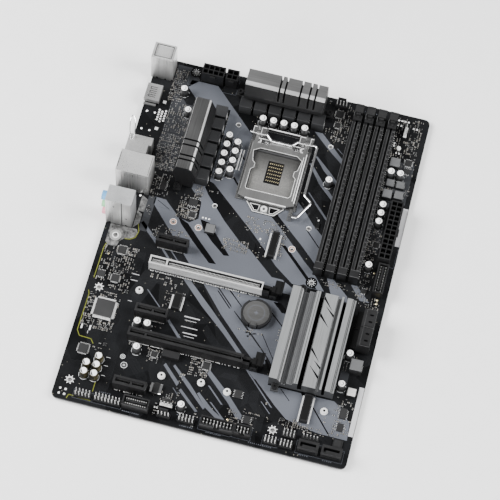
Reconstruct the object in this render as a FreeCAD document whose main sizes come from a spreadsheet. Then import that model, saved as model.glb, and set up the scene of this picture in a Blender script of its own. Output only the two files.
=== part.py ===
import FreeCAD, Part
import math
import os

import Sketcher

# A full-size desktop computer motherboard: a drilled circuit board with its sockets, slots,
# heatsinks, rear connectors and small parts.
# Places are given as (x, y, z) in millimetres: x from the rear edge of the board, y from its
# bottom edge and z up from its top face. The model's own origin is under the middle of its box,
# with +Z up, the rear connectors at -X and the processor end at +Y.

os.makedirs("parts", exist_ok=True)
doc = FreeCAD.newDocument("motherboard")
Vector = FreeCAD.Vector
NO_TURN = FreeCAD.Rotation()

# ---------------------------------------------------------------- driving dimensions

DIMENSIONS = {
    "board_width": 224.0,
    "board_length": 305.0,
    "board_thick": 1.6,
    "board_corner": 4.5,
    "tail_length": 2.0,
    "jack_overhang": 4.2,
    "mount_hole": 1.98,
    "cooler_hole": 2.0,
    "cooler_pitch": 75.0,
    "stand_hole": 1.5,
    "vrm_height": 30.0,
    "vrm_slit": 1.4,
    "left_sink_length": 64.3,
    "top_sink_length": 63.8,
    "hub_sink_length": 78.2,
    "choke_side": 9.6,
    "choke_height": 10.0,
    "cap_radius": 2.9,
    "cap_height": 8.2,
    "cap_foot": 0.6,
    "audio_cap_radius": 3.0,
    "audio_cap_height": 7.6,
    "slot_width": 7.0,
    "slot_height": 11.0,
    "long_slot": 88.6,
    "short_slot": 25.0,
    "slot_groove": 1.9,
    "memory_width": 7.0,
    "memory_height": 8.4,
    "memory_groove": 1.6,
    "memory_pitch": 9.25,
    "tower_height": 11.0,
    "wire_radius": 1.1,
    "hole_play": 0.05,
    "plate_thick": 1.2,
    "plate_level": 3.6,
    "cell_radius": 10.0,
    "cell_thick": 3.2,
    "header_pitch": 2.54,
    "header_height": 2.5,
    "pin_side": 0.64,
    "pin_height": 8.5,
    "usb_width": 12.4,
    "usb_height": 5.2,
    "port_depth": 14.0,
    "jack_bore": 1.8,
    "power_pitch": 4.2,
    "power_height": 13.0,
    "power_depth": 9.6,
}

sheet = doc.addObject("Spreadsheet::Sheet", "dims")
for row, (alias, number) in enumerate(DIMENSIONS.items(), start=1):
    sheet.set("A%d" % row, alias)
    sheet.set("B%d" % row, str(number))
    sheet.setAlias("B%d" % row, alias)
doc.recompute()


def size_of(alias):
    """The number that a sheet cell holds."""
    return float(sheet.get(alias))


ORIGIN_X = (size_of("board_width") - size_of("jack_overhang")) / 2
ORIGIN_Y = size_of("board_length") / 2
TOP_Z = size_of("tail_length") + size_of("board_thick")

nodes = []


def at(x, y, z=0.0):
    """A place on the board, turned into the model's own frame."""
    return Vector(x - ORIGIN_X, y - ORIGIN_Y, z + TOP_Z)


def keep(piece, label):
    """Name a finished sub-part and put it on the list of nodes to write."""
    piece.Label = label
    nodes.append(piece)
    return piece


def set_size(piece, prop, value):
    """Bind a size to the sheet where it is an expression, or set it where it is a number."""
    if isinstance(value, str):
        piece.setExpression(prop, value)
    else:
        setattr(piece, prop, value)


# ---------------------------------------------------------------- primitive helpers

def box(size, place, name="block"):
    piece = doc.addObject("Part::Box", name)
    for prop, value in zip(("Length", "Width", "Height"), size):
        set_size(piece, prop, value)
    piece.Placement = FreeCAD.Placement(at(*place), NO_TURN)
    return piece


def span(low, high, name="block"):
    """A box between two opposite corners."""
    size = [b - a for a, b in zip(low, high)]
    return box(size, low, name)


TURNS = {
    "x": FreeCAD.Rotation(Vector(0, 1, 0), 90),
    "y": FreeCAD.Rotation(Vector(1, 0, 0), -90),
    "z": NO_TURN,
}


def rod(radius, length, place, along="z", name="rod"):
    piece = doc.addObject("Part::Cylinder", name)
    set_size(piece, "Radius", radius)
    set_size(piece, "Height", length)
    piece.Placement = FreeCAD.Placement(at(*place), TURNS[along])
    return piece


def fuse(pieces, name="joined"):
    if len(pieces) == 1:
        return pieces[0]
    piece = doc.addObject("Part::MultiFuse", name)
    piece.Shapes = pieces
    piece.Refine = True
    return piece


def cut(base, tools, name="cut"):
    piece = doc.addObject("Part::Cut", name)
    piece.Base = base
    piece.Tool = fuse(tools, name + "_tools")
    piece.Refine = True
    return piece


def group(pieces, name="group"):
    """Separate solids that share one node."""
    piece = doc.addObject("Part::Compound", name)
    piece.Links = pieces
    return piece


# ---------------------------------------------------------------- sketch helpers

def new_body(name, place):
    body = doc.addObject("PartDesign::Body", name)
    body.Placement = FreeCAD.Placement(at(*place), NO_TURN)
    return body


def add_sketch(body, role, offset=0.0):
    plane = [item for item in body.Origin.OriginFeatures if item.Role == role][0]
    sketch = body.newObject("Sketcher::SketchObject", body.Name + "_sketch")
    sketch.AttachmentSupport = (plane, [""])
    sketch.MapMode = "FlatFace"
    sketch.AttachmentOffset = FreeCAD.Placement(Vector(0, 0, offset), NO_TURN)
    return sketch


def pin_point(sketch, geo, pos, x, y):
    """Hold a point of the sketch at its place; a size given as text follows the sheet."""
    for kind, value, axis in (("DistanceX", x, -2), ("DistanceY", y, -1)):
        if value == 0:
            sketch.addConstraint(Sketcher.Constraint("PointOnObject", geo, pos, axis))
            continue
        number = size_of(value.split(".")[1]) if isinstance(value, str) else value
        made = sketch.addConstraint(Sketcher.Constraint(kind, -1, 1, geo, pos, number))
        if isinstance(value, str):
            sketch.setExpression("Constraints[%d]" % made, value)


def number_of(value):
    return size_of(value.split(".")[1]) if isinstance(value, str) else value


def outline(sketch, points):
    """A closed outline of straight lines through the points."""
    corners = [Vector(number_of(x), number_of(y), 0) for x, y in points]
    first = None
    last = None
    for index, corner in enumerate(corners):
        following = corners[(index + 1) % len(corners)]
        line = sketch.addGeometry(Part.LineSegment(corner, following), False)
        pin_point(sketch, line, 1, *points[index])
        if last is not None:
            sketch.addConstraint(Sketcher.Constraint("Coincident", last, 2, line, 1))
        if first is None:
            first = line
        last = line
    sketch.addConstraint(Sketcher.Constraint("Coincident", last, 2, first, 1))


def ring(sketch, x, y, radius):
    """A circle whose radius follows the sheet."""
    circle = Part.Circle(Vector(x, y, 0), Vector(0, 0, 1), number_of(radius))
    geo = sketch.addGeometry(circle, False)
    pin_point(sketch, geo, 3, x, y)
    made = sketch.addConstraint(Sketcher.Constraint("Radius", geo, number_of(radius)))
    if isinstance(radius, str):
        sketch.setExpression("Constraints[%d]" % made, radius)


def pad(body, sketch, length, backwards=False):
    feature = body.newObject("PartDesign::Pad", body.Name + "_pad")
    feature.Profile = sketch
    set_size(feature, "Length", length)
    feature.Reversed = backwards
    body.Tip = feature
    doc.recompute()
    return feature


def pocket(body, sketch, depth, backwards=False):
    """Cut a sketch out of the body, and make sure that material went."""
    before = body.Shape.Volume
    feature = body.newObject("PartDesign::Pocket", body.Name + "_pocket")
    feature.Profile = sketch
    set_size(feature, "Length", depth)
    feature.Reversed = backwards
    body.Tip = feature
    doc.recompute()
    if not body.Shape.Volume < before - 1e-6:
        raise RuntimeError("pocket cut nothing in " + body.Name)
    return feature


def prism(name, role, points, length, place, backwards=False):
    """A straight bar with the given section."""
    body = new_body(name, place)
    sketch = add_sketch(body, role)
    outline(sketch, points)
    pad(body, sketch, length, backwards)
    return body


# ---------------------------------------------------------------- circuit board

MOUNT_HOLES = ((33.02, 298.65), (10.16, 141.17), (165.1, 141.17), (10.16, 95.45), (10.16, 16.71),
               (165.1, 16.71))
SOCKET_X = 114.9
SOCKET_Y = 223.3
STAND_HOLES = ((50.0, 164.0), (70.0, 164.0), (144.0, 165.0))
STANDOFFS = ((40.5, 100.4), (75.0, 36.9), (104.8, 39.2), (125.3, 37.0), (198.5, 40.6))
FRAME_SCREWS = ((96.2, 249.7), (132.4, 249.7), (115.0, 191.6))
PUSH_PINS = ((45.0, 192.6), (45.0, 262.6), (72.4, 287.5), (145.0, 287.5), (158.6, 48.4),
             (160.5, 132.6))


def make_board():
    body = new_body("pcb", (0, 0, -size_of("board_thick")))
    sketch = add_sketch(body, "XY_Plane")
    outline(sketch, ((0, 0), ("dims.board_width", 0), ("dims.board_width", "dims.board_length"),
                     (0, "dims.board_length")))
    plate = pad(body, sketch, "dims.board_thick")
    corners = []
    for number, edge in enumerate(plate.Shape.Edges, start=1):
        if abs(edge.tangentAt(edge.FirstParameter).z) > 0.9:
            corners.append("Edge%d" % number)
    rounded = body.newObject("PartDesign::Fillet", "pcb_corners")
    rounded.Base = (plate, corners)
    rounded.setExpression("Radius", "dims.board_corner")
    body.Tip = rounded
    doc.recompute()
    holes = add_sketch(body, "XY_Plane")
    for x, y in MOUNT_HOLES:
        ring(holes, x, y, "dims.mount_hole")
    half = size_of("cooler_pitch") / 2
    for side in (-1, 1):
        for end in (-1, 1):
            ring(holes, SOCKET_X + side * half, SOCKET_Y + end * half, "dims.cooler_hole")
    for x, y in STAND_HOLES:
        ring(holes, x, y, "dims.stand_hole")
    pocket(body, holes, "dims.board_thick", backwards=True)
    keep(body, "pcb")


make_board()

# ---------------------------------------------------------------- processor socket

AXLE_Y = 254.6
AXLE_Z = 6.2
PLATE_KNUCKLES = ((93.6, 3.0), (132.8, 3.4))
KNUCKLE_RADIUS = 2.2
WELL_LOW = (97.0, 206.0)
WELL_HIGH = (132.8, 240.8)


def make_socket_body():
    shell = span((94.5, 200.6, 0), (135.3, 246.6, 3.2), "socket_shell")
    well = span((WELL_LOW[0], WELL_LOW[1], 1.2), (WELL_HIGH[0], WELL_HIGH[1], 4.0), "socket_well")
    centre = span((109.2, 215.4, 0.5), (120.6, 234.2, 2.0), "socket_centre")
    keep(cut(shell, [well, centre], "socket_body"), "socket_body")


def make_socket_contacts():
    """The field of contacts: a plate in the well with an opening over the socket's centre."""
    field = span((97.2, 206.2, 1.2), (132.6, 240.6, 1.7), "contact_field")
    opening = span((108.6, 214.8, 1.0), (121.2, 234.8, 2.0), "contact_opening")
    rows = []
    for row in range(6):
        rows.append(span((109.9, 216.6 + 3.0 * row, 0.5), (120.0, 217.7 + 3.0 * row, 1.5), "row"))
    keep(group([cut(field, [opening], "contact_plate")] + rows, "socket_contacts"), "socket_contacts")


def make_socket_frame():
    """The steel frame: a flat base with side rails, hinge lugs and the nose at the front."""
    body = new_body("frame_base", (0, 0, 0))
    sketch = add_sketch(body, "XY_Plane")
    outline(sketch, ((90.6, 196.5), (100.0, 196.5), (106.5, 188.4), (123.5, 188.4),
                     (130.0, 196.5), (134.0, 196.5), (134.0, 187.6), (137.2, 187.6),
                     (137.2, 196.5), (138.9, 196.5), (138.9, 264.0), (90.6, 264.0)))
    outline(sketch, ((94.3, 200.4), (135.5, 200.4), (135.5, 246.8), (94.3, 246.8)))
    pad(body, sketch, 1.0)
    windows = add_sketch(body, "XY_Plane")
    outline(windows, ((103.0, 195.2), (107.6, 189.8), (110.6, 189.8), (111.2, 195.2)))
    outline(windows, ((118.8, 195.2), (119.4, 189.8), (122.4, 189.8), (127.0, 195.2)))
    outline(windows, ((101.5, 253.0), (127.5, 253.0), (127.5, 260.6), (101.5, 260.6)))
    pocket(body, windows, 1.0, backwards=True)
    pieces = [body]
    pieces.append(span((90.6, 201.0, 0.5), (91.6, 248.0, 4.4), "rail_left"))
    pieces.append(span((137.6, 201.0, 0.5), (138.9, 248.0, 4.6), "rail_right"))
    pieces.append(span((101.5, 260.8, 0.5), (127.5, 262.0, 4.4), "rear_wall"))
    pieces.append(span((135.2, 187.8, 0.5), (136.3, 194.6, 7.6), "hook"))
    for low, high in ((90.6, 93.2), (97.0, 100.9), (128.2, 132.4), (136.6, 138.9)):
        pieces.append(span((low, 252.6, 0.5), (high, 259.4, 8.0), "lug"))
    steel = fuse(pieces, "frame_steel")
    holes = [rod("dims.wire_radius + dims.hole_play", 60.0, (85.0, AXLE_Y, AXLE_Z), "x", "axle_hole")]
    for x, y in FRAME_SCREWS:
        holes.append(rod(1.9, 3.0, (x, y, -1.0), name="screw_hole"))
    keep(cut(steel, holes, "socket_frame"), "socket_frame")


def make_load_plate():
    """The plate that clamps the processor: it has a window and hangs on the lever's axle."""
    level = size_of("plate_level")
    body = new_body("plate_sheet", (0, 0, level))
    sketch = add_sketch(body, "XY_Plane")
    outline(sketch, ((92.3, 199.2), (97.0, 197.2), (132.0, 197.2), (136.9, 199.2),
                     (136.9, 247.0), (136.2, 248.0), (136.2, 254.2), (132.8, 254.2), (132.8, 246.4),
                     (125.4, 246.4), (122.2, 251.6), (107.8, 251.6), (104.6, 246.4), (96.6, 246.4),
                     (96.6, 254.2), (93.6, 254.2), (93.6, 248.0), (92.3, 247.0)))
    outline(sketch, ((97.4, 204.6), (131.0, 204.6), (132.6, 206.4), (132.6, 222.6),
                     (130.4, 224.4), (130.4, 228.4), (132.6, 230.2), (134.2, 239.4),
                     (129.6, 242.6), (99.6, 242.6), (94.6, 239.4), (96.2, 230.2),
                     (98.6, 228.2), (98.6, 224.4), (96.2, 222.6), (96.2, 206.0)))
    pad(body, sketch, "dims.plate_thick")
    pieces = [body]
    pieces.append(span((98.0, 196.2, 2.2), (131.2, 197.4, level + 1.2), "front_lip"))
    pieces.append(span((136.1, 201.0, level + 0.6), (136.9, 246.5, level + 1.6), "right_bead"))
    pieces.append(span((92.3, 201.0, level + 0.6), (93.1, 246.5, level + 1.6), "left_bead"))
    for low, wide in PLATE_KNUCKLES:
        pieces.append(rod(KNUCKLE_RADIUS, wide, (low, AXLE_Y, AXLE_Z), "x", "knuckle"))
    sheet_metal = fuse(pieces, "plate_steel")
    bore = rod("dims.wire_radius + dims.hole_play", 50.0, (90.0, AXLE_Y, AXLE_Z), "x", "axle_bore")
    keep(cut(sheet_metal, [bore], "load_plate"), "load_plate")


LEVER_PATH = ((88.6, AXLE_Y), (102.4, AXLE_Y), (106.6, 250.1), (123.0, 250.1), (127.2, AXLE_Y),
              (142.7, AXLE_Y), (142.9, 209.4), (149.6, 204.4), (141.6, 189.2), (137.4, 189.0))
LEVER_BENDS = (1.6, 1.6, 1.6, 1.6, 2.4, 3.0, 2.6, 2.0)


def rounded_path(points, radii):
    """Straight runs joined by tangent arcs, one radius for each inner point."""
    edges = []
    start = points[0]
    for index, radius in enumerate(radii, start=1):
        corner = points[index]
        back = (points[index - 1] - corner).normalize()
        ahead = (points[index + 1] - corner).normalize()
        half_turn = (math.pi - back.getAngle(ahead)) / 2
        reach = radius * math.tan(half_turn)
        enter = corner + back * reach
        leave = corner + ahead * reach
        inward = (back + ahead).normalize()
        centre = corner + inward * (radius / math.cos(half_turn))
        middle = centre - inward * radius
        edges.append(Part.LineSegment(start, enter).toShape())
        edges.append(Part.Arc(enter, middle, leave).toShape())
        start = leave
    edges.append(Part.LineSegment(start, points[-1]).toShape())
    return Part.Wire(edges)


def make_load_lever():
    """One bent steel wire: axle, crank and arm, all in one plane."""
    points = [Vector(x - SOCKET_X, y - AXLE_Y, 0) for x, y in LEVER_PATH]
    spine = rounded_path(points, LEVER_BENDS)
    section = Part.Wire(Part.Circle(points[0], Vector(1, 0, 0), size_of("wire_radius")).toShape())
    pipe = spine.makePipeShell([section], True, True)
    lever = doc.addObject("Part::Feature", "load_lever")
    lever.Shape = Part.Solid(pipe) if pipe.ShapeType != "Solid" else pipe
    lever.Placement = FreeCAD.Placement(at(SOCKET_X, AXLE_Y, AXLE_Z), NO_TURN)
    keep(lever, "load_lever")


def make_socket_screws():
    """Shouldered screws through the frame, with a star recess in each head."""
    screws = []
    for x, y in FRAME_SCREWS:
        shank = rod(1.8, 1.0, (x, y, 0.0), name="shank")
        head = rod(2.7, 2.2, (x, y, 1.0), name="head")
        recess = rod(1.2, 1.4, (x, y, 2.0), name="recess")
        screws.append(cut(fuse([shank, head], "screw_blank"), [recess], "screw"))
    keep(group(screws, "socket_screws"), "socket_screws")


def make_backplate():
    """The stiffening plate under the socket, held off the board by its own thickness."""
    body = new_body("backplate_body", (0, 0, -TOP_Z))
    sketch = add_sketch(body, "XY_Plane")
    outline(sketch, ((92.0, 194.0), (104.0, 186.0), (126.0, 186.0), (138.0, 194.0),
                     (140.0, 256.0), (134.0, 262.0), (96.0, 262.0), (90.0, 256.0)))
    outline(sketch, ((102.0, 208.0), (128.0, 208.0), (128.0, 240.0), (102.0, 240.0)))
    pad(body, sketch, "dims.tail_length")
    keep(body, "socket_backplate")


make_socket_body()
make_socket_contacts()
make_socket_frame()
make_load_plate()
make_load_lever()
make_socket_screws()
make_backplate()

# ---------------------------------------------------------------- memory slots

FIRST_MEMORY_X = 167.6
MEMORY_LOW = 148.0
MEMORY_HIGH = 296.6
LATCH_Y = 290.2
LATCH_Z = 3.0
LATCH_PIN = 0.8


def make_memory_slot(number):
    x = FIRST_MEMORY_X + (number - 1) * size_of("memory_pitch")
    half = size_of("memory_width") / 2
    length = MEMORY_HIGH - MEMORY_LOW
    rail = box(("dims.memory_width", length, 2.0), (x - half, MEMORY_LOW, 0), "rail")
    wall = box(("dims.memory_width", 284.0 - MEMORY_LOW, "dims.memory_height"),
               (x - half, MEMORY_LOW, 0), "wall")
    end = box(("dims.memory_width", 6.4, 12.0), (x - half, MEMORY_LOW, 0), "end_tower")
    tower = box(("dims.memory_width", 5.0, "dims.tower_height"), (x - half, 283.8, 0), "latch_tower")
    cheeks = box(("dims.memory_width", MEMORY_HIGH - 288.0, 8.6), (x - half, 288.0, 0), "cheeks")
    blank = fuse([rail, wall, end, tower, cheeks], "slot_blank")
    groove_half = size_of("memory_groove") / 2
    groove = box(("dims.memory_groove", 133.6, 8.0), (x - groove_half, 152.4, 2.2), "groove")
    step_left = box((1.1, 126.0, 1.2), (x - half - 0.1, 155.6, 7.3), "step")
    step_right = box((1.1, 126.0, 1.2), (x + half - 1.0, 155.6, 7.3), "step")
    bay = span((x - 2.0, 286.0, 1.2), (x + 2.0, 298.0, 12.0), "latch_bay")
    pin_hole = rod(LATCH_PIN + size_of("hole_play"), 5.2, (x - 2.6, LATCH_Y, LATCH_Z), "x", "hole")
    keyed = cut(blank, [groove, step_left, step_right, bay, pin_hole], "slot_cut")
    key = span((x - groove_half - 0.2, 213.0, 2.0), (x + groove_half + 0.2, 214.6, 7.2), "key")
    label = "dimm_slot_%d" % number
    keep(fuse([keyed, key], label), label)


def make_memory_latch(number):
    """A latch that swings outwards on its own trunnions."""
    x = FIRST_MEMORY_X + (number - 1) * size_of("memory_pitch")
    shank = span((x - 1.8, 288.2, 2.0), (x + 1.8, 292.2, 12.6), "shank")
    toe = span((x - 1.8, 286.6, 8.6), (x + 1.8, 288.4, 10.2), "toe")
    tab = span((x - 3.25, 289.6, 11.6), (x + 3.25, 297.0, 14.0), "tab")
    rib = span((x - 2.2, 295.0, 14.0), (x + 2.2, 296.2, 14.5), "rib")
    trunnion = rod(LATCH_PIN, 4.9, (x - 2.45, LATCH_Y, LATCH_Z), "x", "trunnion")
    label = "dimm_latch_%d" % number
    keep(fuse([shank, toe, tab, rib, trunnion], label), label)


for slot_number in range(1, 5):
    make_memory_slot(slot_number)
for slot_number in range(1, 5):
    make_memory_latch(slot_number)

# ---------------------------------------------------------------- card slots

SLOT_START = 42.4
SLOT_PITCH = 20.32
LONG_SLOT_ROWS = (123.0, 123.0 - 3 * SLOT_PITCH)
SHORT_SLOT_ROWS = (123.0 + SLOT_PITCH, 123.0 - 2 * SLOT_PITCH, 123.0 - 5 * SLOT_PITCH)
RETAINER_X = 139.4
RETAINER_Z = 2.6
RETAINER_PIN = 0.9
SHIELD_SKIN = 0.35


def slot_block(row, length, width, name):
    """A card slot: a moulded bar with a deep groove, bridged by its key."""
    half = number_of(width) / 2
    bar = box((length, width, "dims.slot_height"), (SLOT_START, row - half, 0), name + "_bar")
    groove_half = size_of("slot_groove") / 2
    first = span((SLOT_START + 1.6, row - groove_half, 3.0),
                 (SLOT_START + 12.6, row + groove_half, 12.0), "front_groove")
    second_end = SLOT_START + number_of(length) - 1.6
    second = span((SLOT_START + 14.4, row - groove_half, 3.0),
                  (second_end, row + groove_half, 12.0), "main_groove")
    mouth = span((SLOT_START + 1.6, row - 1.7, 10.0), (second_end, row + 1.7, 12.0), "mouth")
    return bar, [first, second, mouth]


def make_long_slot(number):
    row = LONG_SLOT_ROWS[number - 1]
    shielded = number == 1
    width = size_of("slot_width") - (2 * SHIELD_SKIN + 0.02 if shielded else 0)
    bar, grooves = slot_block(row, "dims.long_slot", width, "long_slot")
    stop = span((131.0, row - 3.2, 0), (136.2, row + 3.2, 8.2), "stop")
    base = span((131.0, row - 3.7, 0), (142.6, row + 3.7, 1.2), "retainer_base")
    ears = []
    for side in (-1, 1):
        near = row + side * 2.8
        far = row + side * 3.7
        ears.append(span((137.0, min(near, far), 1.0), (142.0, max(near, far), 5.2), "ear"))
    blank = fuse([bar, stop, base] + ears, "long_blank")
    hole = rod(RETAINER_PIN + size_of("hole_play"), 8.0, (RETAINER_X, row - 4.0, RETAINER_Z), "y",
               "retainer_hole")
    lead = span((130.0, row - 0.95, 3.0), (137.0, row + 0.95, 12.0), "lead_out")
    label = "pcie_x16_slot_%d" % number
    keep(cut(blank, grooves + [hole, lead], label), label)


def make_shield():
    """The steel jacket round the first long slot."""
    row = LONG_SLOT_ROWS[0]
    half = size_of("slot_width") / 2
    inner = half - SHIELD_SKIN
    jacket = box(("dims.long_slot", "dims.slot_width", "dims.slot_height + %g" % (0.6 + SHIELD_SKIN)),
                 (SLOT_START, row - half, 0.6 - 0.6), "jacket")
    hollow = box(("dims.long_slot + 4", 2 * inner, "dims.slot_height + 1"),
                 (SLOT_START - 2, row - inner, -0.9), "hollow")
    top_hollow = box(("dims.long_slot - 0.6", 2 * inner, 0.62),
                     (SLOT_START + 0.3, row - inner, size_of("slot_height") - 0.02), "top_hollow")
    first = span((SLOT_START + 1.2, row - 2.2, 8.0), (SLOT_START + 12.8, row + 2.2, 14.0), "slit")
    second = span((SLOT_START + 14.2, row - 2.2, 8.0), (130.0, row + 2.2, 14.0), "slit")
    keep(cut(jacket, [hollow, top_hollow, first, second], "pcie_x16_shield"), "pcie_x16_shield")


def make_retainer(number):
    """The card retainer: a hooked lever with a finger tab to one side."""
    row = LONG_SLOT_ROWS[number - 1]
    shank = span((138.2, row - 2.6, 1.6), (140.8, row + 2.6, 11.4), "shank")
    hook = span((136.6, row - 1.4, 9.4), (138.4, row + 1.4, 11.4), "hook")
    arm = span((140.6, row - 2.6, 8.6), (146.4, row + 2.6, 10.6), "arm")
    flap = span((139.6, row + 2.4, 9.0), (146.4, row + 8.2, 10.6), "flap")
    lip = span((145.2, row - 2.6, 10.4), (146.4, row + 8.2, 11.4), "lip")
    pin = rod(RETAINER_PIN, 7.2, (RETAINER_X, row - 3.6, RETAINER_Z), "y", "retainer_pin")
    label = "pcie_latch_%d" % number
    keep(fuse([shank, hook, arm, flap, lip, pin], label), label)


def make_short_slot(number):
    row = SHORT_SLOT_ROWS[number - 1]
    bar, grooves = slot_block(row, "dims.short_slot", "dims.slot_width", "short_slot")
    label = "pcie_x1_slot_%d" % number
    keep(cut(bar, grooves, label), label)


for slot_number in (1, 2):
    make_long_slot(slot_number)
    make_retainer(slot_number)
make_shield()
for slot_number in (1, 2, 3):
    make_short_slot(slot_number)

# ---------------------------------------------------------------- module sockets

# Each module socket: node name, low corner, high corner and the side that its mouth faces.
MODULE_SOCKETS = (
    ("m2_socket_1", (126.9, 152.6), (132.2, 174.8), 1),
    ("m2_socket_2", (182.2, 27.6), (188.2, 49.8), 1),
    ("wifi_socket", (67.4, 91.4), (73.8, 104.6), -1),
)


def make_module_socket(label, low, high, side):
    """A low edge socket whose mouth opens along X."""
    shell = span((low[0], low[1], 0), (high[0], high[1], 4.2), "module_shell")
    if side > 0:
        mouth = span((low[0] + 1.4, low[1] + 1.2, 1.6), (high[0] + 1, high[1] - 1.2, 3.0), "mouth")
    else:
        mouth = span((low[0] - 1, low[1] + 1.2, 1.6), (high[0] - 1.4, high[1] - 1.2, 3.0), "mouth")
    keep(cut(shell, [mouth], label), label)


def make_standoffs():
    """Brass-nut standoffs for the plug-in modules, with a tapped hole in each."""
    posts = []
    for x, y in STANDOFFS:
        base = rod(2.9, 0.8, (x, y, 0), name="standoff_foot")
        post = rod(2.3, 2.4, (x, y, 0), name="standoff_post")
        thread = rod(1.0, 3.0, (x, y, 0.6), name="thread")
        posts.append(cut(fuse([base, post], "standoff_blank"), [thread], "standoff"))
    keep(group(posts, "m2_standoffs"), "m2_standoffs")


for socket_entry in MODULE_SOCKETS:
    make_module_socket(*socket_entry)
make_standoffs()

# ---------------------------------------------------------------- power sockets

POWER_WALL = 0.7


def power_socket(low, columns, rows, name, latch_side):
    """A shrouded power socket with one square bay for each contact."""
    pitch = size_of("power_pitch")
    size_x = columns * pitch + 1.2
    size_y = rows * pitch + 1.2
    shell = box((size_x, size_y, "dims.power_height"), (low[0], low[1], 0), name + "_shell")
    ridges = {
        "south": span((low[0] + size_x / 2 - 2.2, low[1] - 1.4, 7.5),
                      (low[0] + size_x / 2 + 2.2, low[1] + 0.2, 11.5), "ridge"),
        "east": span((low[0] + size_x - 0.2, low[1] + size_y / 2 - 2.6, 7.5),
                     (low[0] + size_x + 1.4, low[1] + size_y / 2 + 2.6, 11.5), "ridge"),
    }
    bays = []
    for column in range(columns):
        for row in range(rows):
            x = low[0] + 0.6 + column * pitch + POWER_WALL / 2
            y = low[1] + 0.6 + row * pitch + POWER_WALL / 2
            side = pitch - POWER_WALL
            bays.append(box((side, side, 11.0), (x, y, 3.5), "bay"))
    blank = fuse([shell, ridges[latch_side]], name + "_blank")
    return cut(blank, bays, name)


POWER_LAYOUT = (
    ((209.6, 169.0), 2, 12, "east"),
    ((38.7, 291.8), 4, 2, "south"),
    ((58.3, 291.8), 2, 2, "south"),
)


def make_power_sockets():
    board_supply = power_socket((209.6, 169.0), 2, 12, "atx_power_socket", "east")
    keep(board_supply, "atx_power_socket")
    wide = power_socket((38.7, 291.8), 4, 2, "cpu_power_wide", "south")
    narrow = power_socket((58.3, 291.8), 2, 2, "cpu_power_narrow", "south")
    keep(group([wide, narrow], "cpu_power_sockets"), "cpu_power_sockets")


def make_power_pins():
    """The square contact in the middle of each bay."""
    pitch = size_of("power_pitch")
    pins = []
    for low, columns, rows, _side in POWER_LAYOUT:
        for column in range(columns):
            for row in range(rows):
                x = low[0] + 0.6 + (column + 0.5) * pitch
                y = low[1] + 0.6 + (row + 0.5) * pitch
                pins.append(span((x - 0.55, y - 0.55, 3.5), (x + 0.55, y + 0.55, 10.5), "contact"))
    keep(group(pins, "power_pins"), "power_pins")


make_power_sockets()
make_power_pins()

# ---------------------------------------------------------------- data sockets on the board


# Pins on each side of the tongue: places across the socket, and their count and pitch along it.
USB3_CORNERS = (((211.6, 142.0), (219.8, 167.4)), ((53.2, 4.6), (73.0, 12.8)))
USB3_PIN_SIDES = (2.2, 6.0)
USB3_PIN_COUNT = 10


def usb3_pin_spots():
    for low, high in USB3_CORNERS:
        along_x = high[0] - low[0] > high[1] - low[1]
        length = (high[0] - low[0] if along_x else high[1] - low[1]) - 5.0
        for k in range(USB3_PIN_COUNT):
            step = 2.5 + length * k / (USB3_PIN_COUNT - 1)
            for side in USB3_PIN_SIDES:
                if along_x:
                    yield (low[0] + step, low[1] + side)
                else:
                    yield (low[0] + side, low[1] + step)


def make_usb3_headers():
    """Shrouded sockets for the front-panel ports, each with a tongue inside."""
    sockets = []
    for low, high in USB3_CORNERS:
        shell = span((low[0], low[1], 0), (high[0], high[1], 9.0), "usb3_shell")
        well = span((low[0] + 1.1, low[1] + 1.1, 1.2), (high[0] - 1.1, high[1] - 1.1, 10.0), "well")
        wide = high[0] - low[0] > high[1] - low[1]
        mid_x = (low[0] + high[0]) / 2
        mid_y = (low[1] + high[1]) / 2
        if wide:
            tongue = span((low[0] + 2.4, mid_y - 0.8, 1.0), (high[0] - 2.4, mid_y + 0.8, 8.2), "tongue")
        else:
            tongue = span((mid_x - 0.8, low[1] + 2.4, 1.0), (mid_x + 0.8, high[1] - 2.4, 8.2), "tongue")
        sockets.append(fuse([cut(shell, [well], "usb3_hollow"), tongue], "usb3_socket"))
    keep(group(sockets, "usb3_headers"), "usb3_headers")


def sata_mouth_x(y, z):
    """The L-shaped mouth of a drive socket that faces the side of the board."""
    slot = span((213.5, y - 5.8, z - 0.9), (221.0, y + 5.8, z + 0.9), "mouth")
    foot = span((213.5, y + 4.2, z - 0.9), (221.0, y + 5.8, z + 2.4), "mouth_foot")
    return [slot, foot]


def make_sata_block():
    """Two blocks of drive sockets, each with one mouth above another."""
    blocks = []
    for centre in (116.4, 100.6):
        shell = span((205.2, centre - 7.6, 0), (219.9, centre + 7.6, 15.2), "sata_shell")
        back = span((204.0, centre - 8.0, 8.0), (209.8, centre + 8.0, 16.0), "sata_step")
        catches = []
        for offset in (3.0, -2.7):
            y = centre + offset
            catches.append(span((214.6, y - 0.7, 13.6), (217.4, y + 0.7, 16.0), "catch_slot"))
        mouths = sata_mouth_x(centre, 3.8) + sata_mouth_x(centre, 10.8)
        blocks.append(cut(shell, mouths + catches + [back], "sata_pair"))
    keep(group(blocks, "sata_port_block"), "sata_port_block")


def make_sata_edge():
    """Single drive sockets that face upwards along the bottom edge."""
    sockets = []
    for low in (186.0, 203.6):
        shell = span((low, 5.2, 0), (low + 15.4, 12.4, 8.4), "sata_shell")
        slot = span((low + 1.6, 8.2, 2.4), (low + 13.4, 10.2, 9.0), "mouth")
        foot = span((low + 1.6, 6.6, 2.4), (low + 3.4, 8.4, 9.0), "mouth_foot")
        sockets.append(cut(shell, [slot, foot], "sata_single"))
    keep(group(sockets, "sata_ports_edge"), "sata_ports_edge")


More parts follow.
